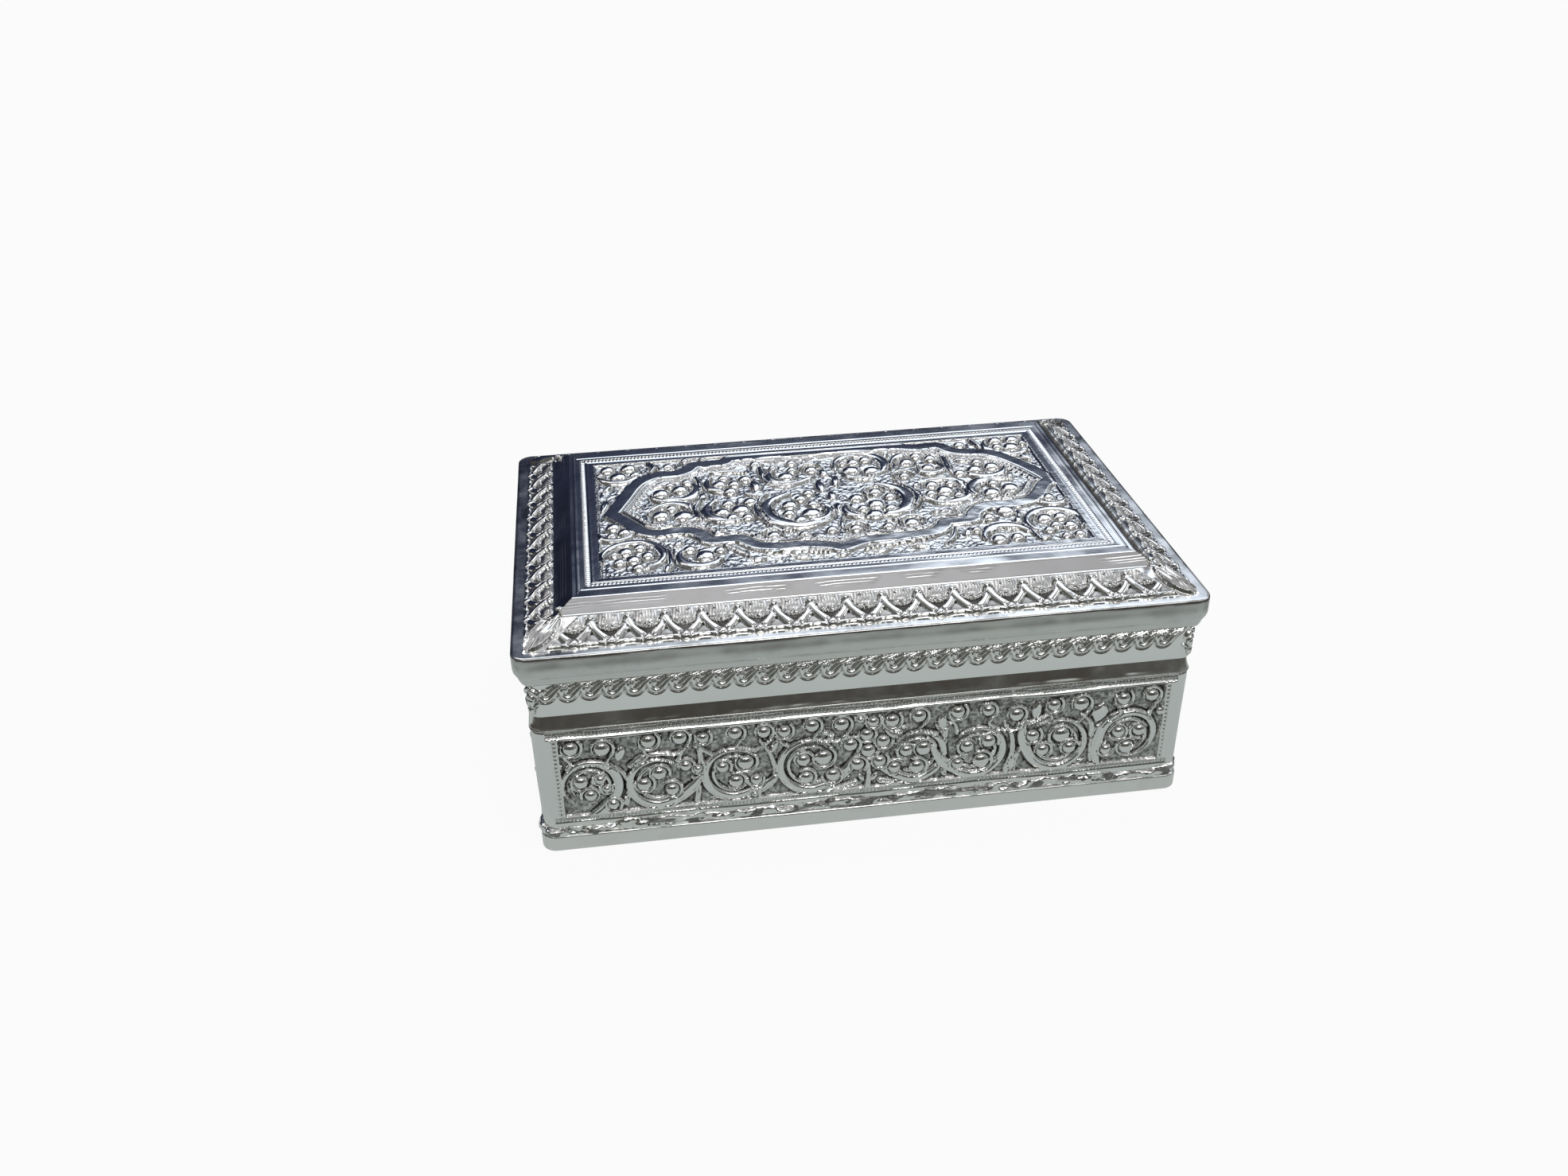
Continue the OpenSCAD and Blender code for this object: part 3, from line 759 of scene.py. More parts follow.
# lid top: field with its cartouche
panel = {
    "x": 44.4, "y": 24.0, "z": 45.38, "bottom": 44.6, "sink": 0.3, "height": 0.72, "columns": 424, "rows": 230,
    "ribbonHalf": 1.4, "ribbonRise": 0.44, "ribbonLength": 231.0, "beadPitch": 1.15,
    "grain": [(0.08, 0.42, 41), (0.06, 1.3, 42)], "ribbonWaves": [(0.02, 3, 43)],
}
ribbonLine = [
    (-41.5, 1), (-39, 7), (-37, 12), (-35, 15), (-32, 16.9), (-28, 17.2), (-25.8, 18.5), (-24, 20.6), (-18.6, 20.8),
    (-16.5, 22.4), (-8, 23), (4, 23), (16, 22.6), (21, 21.2), (25.6, 21.4), (27.6, 18.8), (30, 17.3), (33.5, 16.6),
    (36, 15), (38.5, 12), (41, 7.5), (43.2, 1.8), (41.5, -0.5), (39.5, -4), (37, -6.5), (33.5, -7.6), (29.5, -7.3),
    (27, -8.2), (25.2, -10.3), (24, -12.6), (19.5, -12.8), (18.4, -14.6), (16, -16.4), (10, -17.2), (4, -17.5),
    (0.8, -18.7), (-1.2, -19.6), (-3, -18.6), (-7, -17.4), (-13, -17.2), (-16, -16.2), (-17.8, -14.2), (-19, -12.9),
    (-24, -12.9), (-25.2, -10.8), (-27, -8.7), (-30, -8.1), (-33.5, -8.5), (-36.5, -6.7), (-38.8, -3), (-41.5, 1),
]
# scrolls: place, radius, start, sweep, half width
lidScrolls = [
    (-38.2, -16.6, 5.6, 195, -265, 0.8), (-26.2, -18.2, 4.0, 140, 190, 0.9), (-40.8, -6.2, 3.8, 165, 160, 0.7),
    (-39.2, 19.6, 4.7, 190, 165, 0.75), (-29.0, 20.6, 2.6, 20, -230, 0.4), (-29.5, 9.6, 4.9, 205, 185, 0.95),
    (-30.0, -1.0, 4.7, 165, -245, 0.85), (-31.4, -3.0, 2.8, 190, 130, 0.4), (-18.9, -0.6, 4.8, 120, 170, 1.05),
    (-19.4, -0.4, 6.7, 130, 90, 0.45), (-18.8, 11.2, 3.9, 135, 150, 0.75), (-6.4, -2.6, 6.6, 100, 255, 1.35),
    (-6.4, -1.8, 8.4, 125, 90, 0.5), (-4.3, -4.6, 3.4, 60, -200, 0.6), (-6.8, 12.4, 3.5, 125, 170, 0.7),
    (-1.6, 14.6, 2.6, 200, -170, 0.4), (8.6, -1.2, 6.6, 80, -185, 1.4), (8.6, -0.8, 8.4, 55, -95, 0.5),
    (5.6, -4.6, 3.6, 140, 130, 0.75), (9.0, 2.4, 2.2, 20, 230, 0.35), (8.4, 14.9, 5.2, 190, -270, 0.95),
    (19.9, 13.8, 5.3, 180, -150, 0.8), (21.8, 11.2, 2.7, 60, -280, 0.5), (22.1, 0.5, 5.2, 130, -300, 0.95),
    (32.6, -0.6, 5.2, 205, -150, 1.1), (33.0, -1.2, 4.4, 350, -130, 0.5), (32.2, 9.6, 4.4, 190, 180, 0.8),
    (39.8, 19.4, 4.9, 150, 170, 0.8), (39.2, -16.0, 5.3, 215, -255, 0.9), (41.2, -6.2, 2.9, 200, 150, 0.6),
    (29.2, -20.2, 4.4, 190, -170, 1.0), (27.6, -12.0, 2.4, 60, 200, 0.4), (16.0, 8.4, 2.2, 200, -200, 0.4),
    (-12.8, -12.4, 2.3, 200, -210, 0.4), (2.8, -12.4, 2.3, 340, 210, 0.4), (13.4, -11.6, 2.6, 200, -220, 0.4),
]
# place, radius
lidDomes = [
    (-39.6, -14.6, 1.5), (-37.0, -13.4, 1.2), (-35.8, -16.6, 1.3), (-38.4, -17.8, 1.5), (-40.8, -18.4, 1.2),
    (-37.6, -20.8, 1.2), (-41.6, -15.6, 0.9), (-25.6, -18.2, 1.8), (-28.2, -15.6, 1.3), (-22.8, -16.8, 1.1),
    (-41.4, -4.4, 1.4), (-39.4, -6.8, 1.4), (-41.8, -8.0, 1.0), (-39.6, 17.9, 1.8), (-41.6, 21.4, 1.5),
    (-37.4, 21.7, 1.6), (-36.2, 18.2, 1.2), (-43.0, 18.6, 0.8), (-29.6, 20.8, 1.2), (-26.0, 22.9, 0.9),
    (-31.8, 8.7, 1.7), (-28.0, 9.9, 1.6), (-26.4, 12.8, 1.1), (-29.8, 11.8, 1.0), (-32.4, -0.8, 1.7),
    (-28.2, -1.6, 1.9), (-30.2, 1.6, 1.2), (-20.9, -1.6, 1.6), (-19.4, 1.9, 1.3), (-17.3, -0.8, 1.8),
    (-15.2, 2.2, 1.4), (-19.2, -4.0, 1.3), (-16.4, -4.4, 1.2), (-20.2, 10.8, 1.5), (-19.2, 13.3, 1.2),
    (-17.4, 10.4, 1.3), (-15.0, 12.4, 1.4), (-18.4, 7.4, 1.4), (-8.0, -0.6, 1.6), (-5.6, 1.6, 1.3), (-8.6, -4.2, 1.3),
    (-4.4, -4.6, 1.9), (-6.8, -7.2, 1.4), (-3.6, -1.0, 1.2), (-3.8, 3.8, 1.2), (-6.9, 12.2, 1.7), (-5.4, 14.8, 1.1),
    (-1.6, 14.4, 1.4), (-9.0, 16.4, 0.9), (-5.0, 18.2, 1.1), (5.0, 0.2, 1.5), (9.0, 2.2, 1.4), (8.2, -3.0, 1.7),
    (11.4, -0.2, 1.2), (7.2, -7.2, 1.7), (5.4, -4.6, 1.2), (10.6, -5.2, 1.3), (6.2, 12.8, 1.8), (10.2, 12.0, 1.7),
    (7.2, 16.4, 1.4), (9.8, 17.2, 1.3), (5.0, 16.0, 0.9), (21.4, 11.2, 1.5), (17.8, 14.6, 1.5), (20.2, 17.2, 1.3),
    (22.8, 15.6, 1.3), (16.0, 8.4, 1.2), (22.4, 0.6, 1.8), (20.4, 3.4, 1.4), (19.4, -0.4, 1.2), (24.4, -2.0, 1.1),
    (21.0, -3.0, 1.4), (24.0, 3.4, 1.1), (31.0, -1.8, 1.7), (35.0, -0.4, 1.8), (32.2, 2.0, 1.2), (33.6, -3.6, 1.1),
    (30.4, 9.0, 1.6), (34.0, 9.8, 1.6), (31.6, 12.2, 1.2), (27.0, 7.6, 1.3), (38.0, 22.0, 1.5), (41.6, 22.0, 1.5),
    (40.4, 18.4, 1.8), (37.6, 18.8, 1.2), (43.0, 19.6, 0.9), (37.6, -14.4, 1.6), (40.6, -14.2, 1.4),
    (38.8, -17.4, 1.2), (41.4, -17.8, 1.4), (37.0, -19.2, 1.1), (42.0, -21.6, 1.2), (39.4, -21.9, 1.0),
    (40.8, -5.8, 1.4), (27.2, -21.0, 1.5), (30.6, -20.8, 1.3), (31.4, -9.8, 1.9), (27.6, -12.2, 1.3),
    (-12.6, -12.6, 1.4), (2.6, -12.4, 1.3), (-1.8, -12.2, 1.2), (13.2, -11.8, 1.6), (8.6, -12.6, 1.2),
    (-12.2, 19.0, 1.2), (-22.4, 23.0, 0.8), (30.2, 21.0, 1.3), (1.0, -15.2, 0.8), (-7.0, -13.2, 1.2),
    (24.0, -17.0, 1.0),
]
# place, length, width, turn
lidLeaves = [
    (-42.6, 4.8, 6.0, 1.9, 78), (-41.8, 12.6, 4.0, 1.3, 62), (-38.4, 12.6, 3.4, 1.5, 35), (-39.8, 8.4, 2.4, 1.7, 70),
    (-22.4, 22.0, 3.6, 1.3, 15), (-31.2, 12.8, 4.6, 1.6, 30), (-24.0, 6.0, 3.8, 2.0, 100), (-13.4, 9.2, 5.2, 2.2, 98),
    (-1.0, 6.6, 6.4, 2.1, 92), (2.3, 8.4, 5.4, 1.8, 82), (0.6, 2.0, 4.4, 2.0, 90), (1.0, -3.4, 4.8, 1.9, 92),
    (-12.4, 18.8, 4.6, 2.2, 80), (-8.0, 20.6, 3.6, 2.0, 62), (-2.4, 18.4, 2.6, 1.1, 80), (0.6, 12.6, 3.8, 1.8, 100),
    (42.6, 6.6, 5.2, 1.3, 100), (41.8, 13.0, 4.4, 1.9, 118), (43.2, 1.6, 2.6, 1.4, 60), (17.4, 3.8, 3.0, 1.4, 60),
    (28.6, 13.6, 3.4, 1.5, 155), (15.2, 21.0, 3.4, 1.4, 70), (11.0, 21.4, 2.6, 1.2, 80), (4.2, 21.6, 2.6, 1.1, 78),
    (-0.5, 22.0, 2.4, 1.1, 80), (22.4, -17.4, 4.2, 1.6, 62), (32.6, -14.2, 3.2, 1.7, 78), (35.6, -22.0, 3.0, 1.3, 20),
    (-22.2, -9.6, 3.0, 1.4, 20), (20.4, -8.6, 3.4, 1.7, 20), (-32.6, -22.0, 3.2, 1.3, 80),
    (-30.0, -13.0, 3.0, 1.6, 60), (-16.2, -21.2, 3.6, 1.3, 15), (-8.8, -21.6, 3.6, 1.2, -10),
    (-1.4, -22.0, 3.0, 1.1, 8), (6.0, -21.6, 3.6, 1.2, 12), (12.6, -21.2, 3.4, 1.2, -12), (30.6, 17.8, 2.4, 1.2, 60),
    (36.4, 4.8, 3.0, 1.4, 60), (-36.6, 3.6, 2.8, 1.3, 110),
]
# points, half width
lidStems = [
    ([(-35.2, -9.8), (-33.2, -12.4), (-32.2, -16.0), (-31.8, -19.8), (-32.6, -23.0)], 0.8),
    ([(-11.6, 19.6), (-11.4, 14.6), (-10.4, 10.4), (-7.6, 8.2), (-3.8, 9.6), (-1.4, 11.6)], 0.8),
    ([(-33.6, 23.6), (-32.4, 21.4), (-33.0, 18.8)], 0.7),
    ([(-24.6, 15.4), (-24.0, 11.6), (-24.4, 8.4), (-25.6, 5.4)], 0.6),
    ([(-21.4, 16.0), (-18.0, 16.4), (-14.4, 15.2)], 0.6), ([(-15.6, 5.6), (-12.8, 4.2), (-11.4, 6.0)], 0.5),
    ([(14.0, 9.4), (15.0, 13.6), (13.8, 17.6), (15.4, 20.0)], 0.6), ([(9.6, 8.2), (6.0, 9.4), (3.8, 12.4)], 0.7),
    ([(25.6, 18.0), (25.6, 13.8), (25.4, 9.6), (26.6, 6.6)], 0.7), ([(33.0, 23.4), (34.4, 19.6), (37.2, 15.8)], 0.7),
    ([(26.8, -3.6), (25.2, -5.8), (22.0, -7.4), (17.6, -8.4)], 0.5),
    ([(33.4, -9.8), (33.2, -14.0), (33.8, -18.0), (34.6, -22.8)], 0.7),
    ([(20.4, -15.4), (19.4, -18.6), (17.2, -21.6)], 0.6), ([(-22.0, -14.4), (-19.4, -17.6), (-17.6, -20.4)], 0.6),
    ([(-13.6, -7.4), (-11.6, -10.0), (-8.4, -11.4)], 0.5), ([(14.6, -6.6), (12.2, -9.6), (8.6, -10.6)], 0.5),
    ([(-28.4, -6.6), (-25.4, -6.0), (-23.6, -7.4)], 0.45), ([(-14.6, -19.2), (-8.6, -19.6), (-3.6, -21.0)], 0.4),
    ([(2.8, -20.8), (8.0, -19.6), (14.4, -19.0)], 0.4), ([(1.2, -7.0), (0.4, -10.0), (0.8, -13.6)], 0.5),
]


def nearLineBlocks(x, y, line):
    # the same as nearLine, worked a few rows at a time
    parts = [nearLine(x[k:k + 12], y[k:k + 12], line) for k in range(0, x.shape[0], 12)]
    return [np.concatenate(columns) for columns in zip(*parts)]


def lidRelief(field):
    x, y = field["x"], field["y"]
    height = panel["height"]
    for stem, wide in lidStems:
        stroke(field, roundLine(stem), (wide * 0.6, wide, wide * 0.4), height * 0.7, (), 0.2)
    for leafPlace in lidLeaves:
        leaf(field, *leafPlace, height * 0.9)
    for scroll in lidScrolls:
        crescent(field, *scroll, height * 0.8)
    for bead in lidDomes:
        dome(field, *bead, height, 0.22)
    rise = field["h"]
    low = 1 - ease(rise, 0.1, 0.22)
    rise += dents(x, y, panel["grain"]) * np.maximum(low, 0.03)
    gap, offset, share = nearLineBlocks(x, y, roundLine(ribbonLine, 6))
    half = panel["ribbonHalf"]
    ribbon = 1 - ease(gap, half, half + 0.2)
    # inner bevel, then a row of beads
    bevel = ridge(offset, -half - 0.6, 0.36, 4)
    beads = ridge(offset, -half - 1.55, 0.4) * teeth(share * panel["ribbonLength"], panel["beadPitch"]) ** 0.6
    fade = (1 - ease(np.abs(offset + half + 1.0), 1.0, 1.2)) * (offset < 0)
    rise = rise * (1 - fade) + fade * (0.05 + 0.5 * beads + 0.55 * bevel)
    rise = rise * (1 - ribbon) + ribbon * (panel["ribbonRise"] + dents(x, y, panel["ribbonWaves"]))
    rise -= 0.2 * ridge(gap, half + 0.21, 0.14)
    field["ground"] = 0.3 * low * (1 - ribbon) * (1 - fade)
    edge = np.minimum(panel["x"] - np.abs(x), panel["y"] - np.abs(y))
    field["h"] = (rise - panel["sink"]) * ease(edge, 0.25, 0.7) + 0.12 * ridge(edge, 0.45, 0.2)


def makePanel():
    obj, u, v = newGrid("lid_field", panel["columns"], panel["rows"])
    x, y = u * panel["x"], v * panel["y"]
    field = newField(x, y)
    lidRelief(field)
    setPlaces(obj, np.stack([x, y, panel["z"] + field["h"]], axis=-1))

    def back(places):
        places = places.copy()
        places[:, 2] = panel["bottom"]
        return places

    closeBack(obj, back)
    finishChased(obj, field, 4, lidChased, "lid", ["top_panel"])


makePanel()
print("lid field chased")


# strips of the lid: each climbs from an outer to an inner ring, mitred at the corners
# rings: inset on the short sides, inset on the long sides, height
def mitredStrip(name, side, rings, columns, rows, relief, thickness=0.55):
    obj, u, v = newGrid(name, columns, rows)
    rings = np.array(rings, float)
    own, end, rungs = rings[:, 1 - side % 2], rings[:, side % 2], rings[:, 2]
    place = runLengths(own, rungs)
    t = (v + 1) / 2 * place[-1]
    inset, endInset, z = (np.interp(t, place, values) for values in (own, end, rungs))
    reach = sideLength(side) / 2 - endInset
    field = newField(u * reach, t)
    relief(field, side, inset)
    h = field["h"]
    outIn, outUp = outwards(inset, z)
    # straight up at the mitre, so that both sides meet there
    seam = ease((1 - np.abs(u)) * reach, 0.0, 2.5)
    setPlaces(obj, toBox(side, u * reach, inset + outIn * h * seam, z + h * (1 + (outUp - 1) * seam)))
    if len(rings) > 2:
        thicken(obj, thickness)
        return obj, field
    squareIn, squareUp = outIn[0, 0], outUp[0, 0]

    def back(places):
        a, b, c = fromBox(side, places)
        over = (b - own[0]) * squareIn + (c - rungs[0]) * squareUp + thickness
        return toBox(side, a, b - over * squareIn, c - over * squareUp)

    closeBack(obj, back)
    return obj, field


petal = {
    "outer": (2.2, 2.2, 41.0), "inner": (7.5, 8.6, 43.5), "counts": (17, 10), "wide": 6.87, "step": 0.15, "rows": 46,
    "height": 0.55, "fanHalf": 0.36, "grain": [(0.03, 1.5, 51)],
    # places are shares of the pitch and heights up the strip, then count of points, half widths, rise
    "straps": [
        ([(0.5, 4.7), (0.42, 3.6), (0.24, 2.1), (0.03, 0.85)], 6, (0.8, 0.66, 0.85), 1.0),
        ([(0.5, 0.72), (0.3, 0.75), (0.1, 0.5)], 5, (0.26, 0.4), 0.85),
        ([(0.342, 4.4), (0.216, 3.65), (0.036, 3.3)], 5, (0.12, 0.22), 0.9),
    ],
    # share of the pitch, shift, height up the strip, radius, rise
    "beads": [
        (0.5, 0, 5.9, 0.75, 1.2), (0.5, -0.3, 4.9, 0.55, 1.2), (0.5, 0.45, 5.2, 0.45, 1.1), (0, -0.3, 3.75, 0.3, 1.3),
        (0, 0.32, 3.8, 0.32, 1.3), (0, 0, 0.75, 0.95, 1.3), (0, -0.9, 5.9, 0.26, 1.2), (0, 0.8, 6.0, 0.26, 1.2),
    ],
}


def layStrap(field, line, width, height):
    # keeps the petals' painted shade off where it is laid
    stroke(field, line, width, height, (), 0.1)
    part = around(field, line, 1)
    if field["x"][part].size:
        gap, _, share = nearLine(field["x"][part], field["y"][part], line)
        field["ground"][part] = np.where(gap < halfWidth(share, width), 0, field["ground"][part])


def petalFan(field, part, c, pitch, k):
    # striped fan over a dark diamond, with almond hollows at its feet; the fan's dark base and stripes, the flat
    # diamond and the hollows are darkened as painted shade and painted dark reflection
    x, y, h, dark = field["x"][part] - c, field["y"][part], field["h"][part], field["ground"][part]
    across = x / (pitch * petal["fanHalf"])
    edge = 0.9 * k * across ** 2
    fan = np.clip(1 - np.abs(across) ** 3, 0, 1) * ease(y, 3.3 * k + edge, 4.1 * k + edge)
    stripes = 0.5 + 0.5 * np.cos(2 * math.pi * x * (1 + 0.05 * (y / k - 5)) / 0.56)
    crown = petal["height"] * (0.75 - 0.35 * across ** 2) + 0.12 * stripes * ease(y, 4.4 * k, 5.4 * k)
    h = np.maximum(h, fan * crown)
    # painted dark reflection over the fan, and painted shade between its stripes
    dark = np.where(fan > 0.3, 0.28 + 0.42 * (1 - stripes), dark)
    diamond = 1 - np.abs(x) / (pitch * 0.26) - np.abs(y - 2.75 * k) / (1.5 * k)
    # painted shade: the diamond is left flat and only darkened
    dark = np.where((diamond > 0) & (fan < 0.3), 1.0, dark)
    eye = 1 - np.hypot((np.abs(x) - pitch / 2) / (pitch * 0.32), (y - 1.75 * k) / (0.95 * k)) ** 2
    field["h"][part] = np.where(eye > 0, 0.14 * np.sqrt(np.clip(eye, 0, 1)), h)
    # painted shade in the almond hollows
    field["ground"][part] = np.where(eye > 0, 0.72, dark)


def petalStraps(field, part, c, pitch, k):
    # straps join the petals' tips
    tall = petal["height"]
    for hand in (-1, 1):
        for points, count, width, rise in petal["straps"]:
            line = [(c + hand * share * pitch, up * k) for share, up in points]
            layStrap(field, roundLine(line, count), width, tall * rise)
    for share, shift, up, radius, rise in petal["beads"]:
        px, py = c + share * pitch + shift, up * k
        dome(field, px, py, radius, tall * rise, 0.04)
        # the beads are kept clear of the painted shade
        near = np.hypot(field["x"][part] - px, field["y"][part] - py) < radius
        field["ground"][part] = np.where(near, 0, field["ground"][part])


def cornerLeaf(field, side, inset):
    # alike on both sides of the mitre
    tall = petal["height"]
    fromEnd = sideLength(side) / 2 - np.abs(field["x"])
    across, spine = fromEnd - inset, (fromEnd + inset) / 2 - 2.2
    near = 1 - ease(np.abs(across), 3.0, 3.8)
    width = 2.5 * np.clip(np.sin(np.clip(spine / 6.2, 0, 1) * math.pi), 0, 1) ** 0.6
    q = np.abs(across) / np.maximum(width, 0.05)
    body = tall * (0.25 + 0.95 * ridge(np.hypot(across / 1.1, (spine - 2.9) / 1.5), 0, 1))
    edge = tall * 1.3 * ridge(q, 0.84, 0.16)
    ribs = 0.12 * np.cos(across * 5 + spine * 2) * np.clip(1 - q, 0, 1)
    field["h"] = field["h"] * (1 - near) + near * np.where(q < 1.08, np.maximum(body + ribs, edge), 0)
    # mostly clears the painted shade from the corner leaf
    field["ground"] *= 1 - 0.8 * near


def petalRelief(field, side, inset):
    a, b = field["x"], field["y"]
    full = b.max()
    count = petal["counts"][side % 2]
    pitch = (sideLength(side) - 2 * petal["inner"][side % 2]) / count
    k = full / petal["wide"]
    # a faint painted shade over the whole strip, under the fans' and diamonds' painted shade
    field["ground"] = 0.1 + 0 * a
    for draw in (petalFan, petalStraps):
        for n in range(-1, count + 1):
            c = (n - (count - 1) / 2) * pitch
            part = window(field, c - pitch * 0.75, c + pitch * 0.75, -1, full + 1)
            if a[part].size:
                draw(field, part, c, pitch, k)
    cornerLeaf(field, side, inset)
    field["h"] *= ease(b, 0.0, 0.3) * (1 - ease(b, full - 0.3, full))
    field["h"] += dents(a, b, petal["grain"], side)


def makePetals(side):
    columns = int(sideLength(side) / petal["step"])
    name = "petal_border_" + sideNames[side]
    obj, field = mitredStrip(name, side, [petal["outer"], petal["inner"]], columns, petal["rows"], petalRelief)
    finishChased(obj, field, 4, petalSilver, "lid", ["petals_" + sideNames[side]])


step = {
    "rings": [petal["inner"], (7.8, 8.85, 43.54), (10.45, 11.05, 45.36), (10.8, 11.35, 45.5), (13.0, 14.9, 45.46)],
    "spacing": 0.7, "rows": 56, "slope": (3.2, 3.6), "groove": (1.0, 1.2),
    "lines": [(0.48, 0.035), (0.62, 0.055), (0.8, 0.05)], "waves": [(0.14, 9, 61), (0.06, 2.5, 62)],
    "dents": [(0.03, 6, 64)],
}


def stepRelief(field, side, inset):
    # bright ledge, hand-cut ridge lines on the slope, and a shallow groove before the flat band
    a, t = field["x"], field["y"]
    wave = dents(a, 0 * a, step["waves"], side)
    field["h"] = 0.1 * ridge(t, 0.22, 0.16)
    for share, tall in step["lines"]:
        broken = ease(smoothNoise(a, 0 * a, 5.1, 63 + side) + share, 0.2, 0.9)
        field["h"] += tall * ridge(t, step["slope"][side % 2] * share + wave, 0.1) * broken
    field["h"] += 0.09 * ridge(t, t.max() - step["groove"][side % 2], 0.13) + dents(a, t, step["dents"], side)


def makeStep(side):
    columns = int(sideLength(side) / step["spacing"])
    obj, field = mitredStrip("lid_step_" + sideNames[side], side, step["rings"], columns, step["rows"], stepRelief)
    finishPlain(obj, polished, "lid", ["step_" + sideNames[side]])


edging = {
    "rings": [(13.0, 14.9, 45.45), (15.6, 17.5, 45.42)], "row": (15.42, 13.52), "pitch": 0.72, "spacing": 0.17,
    "rows": 26, "dents": [(0.02, 5, 71)],
}


def edgingRelief(field, side, inset):
    # milled row, plain band and the thin line before the field
    a, t = field["x"], field["y"]
    off = inset - edging["row"][side % 2]
    field["h"] = 0.17 * teeth(a, edging["pitch"]) ** 0.8 * ridge(off, 0, 0.42, 4) - 0.12 * ridge(off, 0, 0.62, 8)
    field["h"] += 0.08 * ridge(off, 0.83, 0.1) + 0.06 * ridge(off, -0.87, 0.1) + dents(a, t, edging["dents"], side)


def makeEdging(side):
    name, columns = "lid_frame_" + sideNames[side], int(sideLength(side) / edging["spacing"])
    obj, field = mitredStrip(name, side, edging["rings"], columns, edging["rows"], edgingRelief)
    finishChased(obj, field, 3, lidChased, "lid", ["top_panel"])


for side in range(4):
    makePetals(side)
    makeStep(side)
    makeEdging(side)
print("lid borders laid")


# mouldings that run round the rounded corners; profiles give inset and height from the bottom up
def sweepProfile(name, side, profile, corner, cornerInset, spacing, rows, relief):
    profile = np.array(profile, float)
    halfWalk = walkLength(side, corner, cornerInset)
    obj, u, v = newGrid(name, int(2 * halfWalk / spacing), rows)
    place = runLengths(profile[:, 0], profile[:, 1])
    t = (v + 1) / 2 * place[-1]
    inset, z = np.interp(t, place, profile[:, 0]), np.interp(t, place, profile[:, 1])
    walk = u * halfWalk
    field = newField(walk, t)
    relief(field, side, z)
    outIn, outUp = outwards(inset, z)
    inset, z = inset + outIn * field["h"], z + outUp * field["h"]
    if "notch" in field:
        inset = np.where(field["notch"], np.maximum(inset, box["hingeInset"]), inset)
    along, depth = cornerPath(side, walk, inset, corner, halfWalk)
    setPlaces(obj, toBox(side, along, depth, z))
    return obj, field


def moulding(name, side, profile, spacing, rows, backing, relief):
    # backing: inset, bottom and top of the flat inner face
    obj, field = sweepProfile(name, side, profile, box["bodyCorner"], 2.0, spacing, rows, relief)
    backInset, backLow, backHigh = backing
    inner = sideLength(side) / 2 - backInset
    low, high = profile[0][1], profile[-1][1]

    def back(places):
        a, b, c = fromBox(side, places)
        share = (c - low) / (high - low)
        return toBox(side, np.clip(a, -inner, inner), 0 * b + backInset, backLow + share * (backHigh - backLow))

    closeBack(obj, back)
    return obj, field


skirt = {
    "profile": [(1.9, 28.36), (1.9, 35.3)], "backing": (3.1, 28.36, 38.5), "spacing": 0.16, "rows": 48,
    "counts": (30, 20), "endSpace": 4.6, "endStop": 4.0, "shift": -1.3, "notchTop": 29.75,
    "unit": 3.69, "fades": (28.6, 29.0, 34.7, 35.1), "dents": [(0.04, 8, 81)],
    # points, half widths, rise
    "strokes": [
        ([(-0.95, 33.2), (-1.05, 32.4), (-0.6, 31.8), (0.2, 31.65), (0.95, 32.1), (1.8, 33.1), (2.9, 34.0),
          (4.3, 34.6)], (0.5, 0.5, 0.2), 0.24),
        ([(-0.3, 33.4), (-0.3, 32.8), (0.15, 32.5), (0.8, 33.0), (1.7, 33.8), (2.8, 34.4), (3.6, 34.7)],
         (0.38, 0.34, 0.16), 0.22),
        ([(0.4, 33.8), (1.0, 34.1), (1.9, 34.6)], (0.3, 0.16), 0.16),
    ],
    # cut lines darkened as painted shade, the darkest under each gadroon's round foot
    # points, width, depth, dark
    "cuts": [
        ([(-1.5, 32.6), (-1.1, 31.6), (-0.3, 31.15), (0.6, 31.3), (1.2, 31.9)], 0.17, 0.08, 0.8),
        ([(-0.62, 33.2), (-0.62, 32.6), (-0.2, 32.15), (0.4, 32.2), (1.1, 32.9), (2.0, 33.7), (3.2, 34.4)],
         0.12, 0.06, 0.45),
        ([(0.0, 33.6), (0.3, 33.3), (1.1, 33.9), (2.0, 34.5)], 0.12, 0.05, 0.35),
    ],
    # leaves and stems beside each corner, measured out from its start
    "cornerStart": 4.2, "leaves": [(1.9, 33.6, 80), (0.9, 33.2, 55), (1.4, 32.0, 70)], "leafSize": (2.4, 1.0),
    "stems": [
        ([(1.5, 31.4), (1.3, 30.2), (1.6, 29.0)], (0.4, 0.3), 0.4), ([(0.2, 31.2), (1.2, 30.3)], (0.25, 0.2), 0.3)],
}


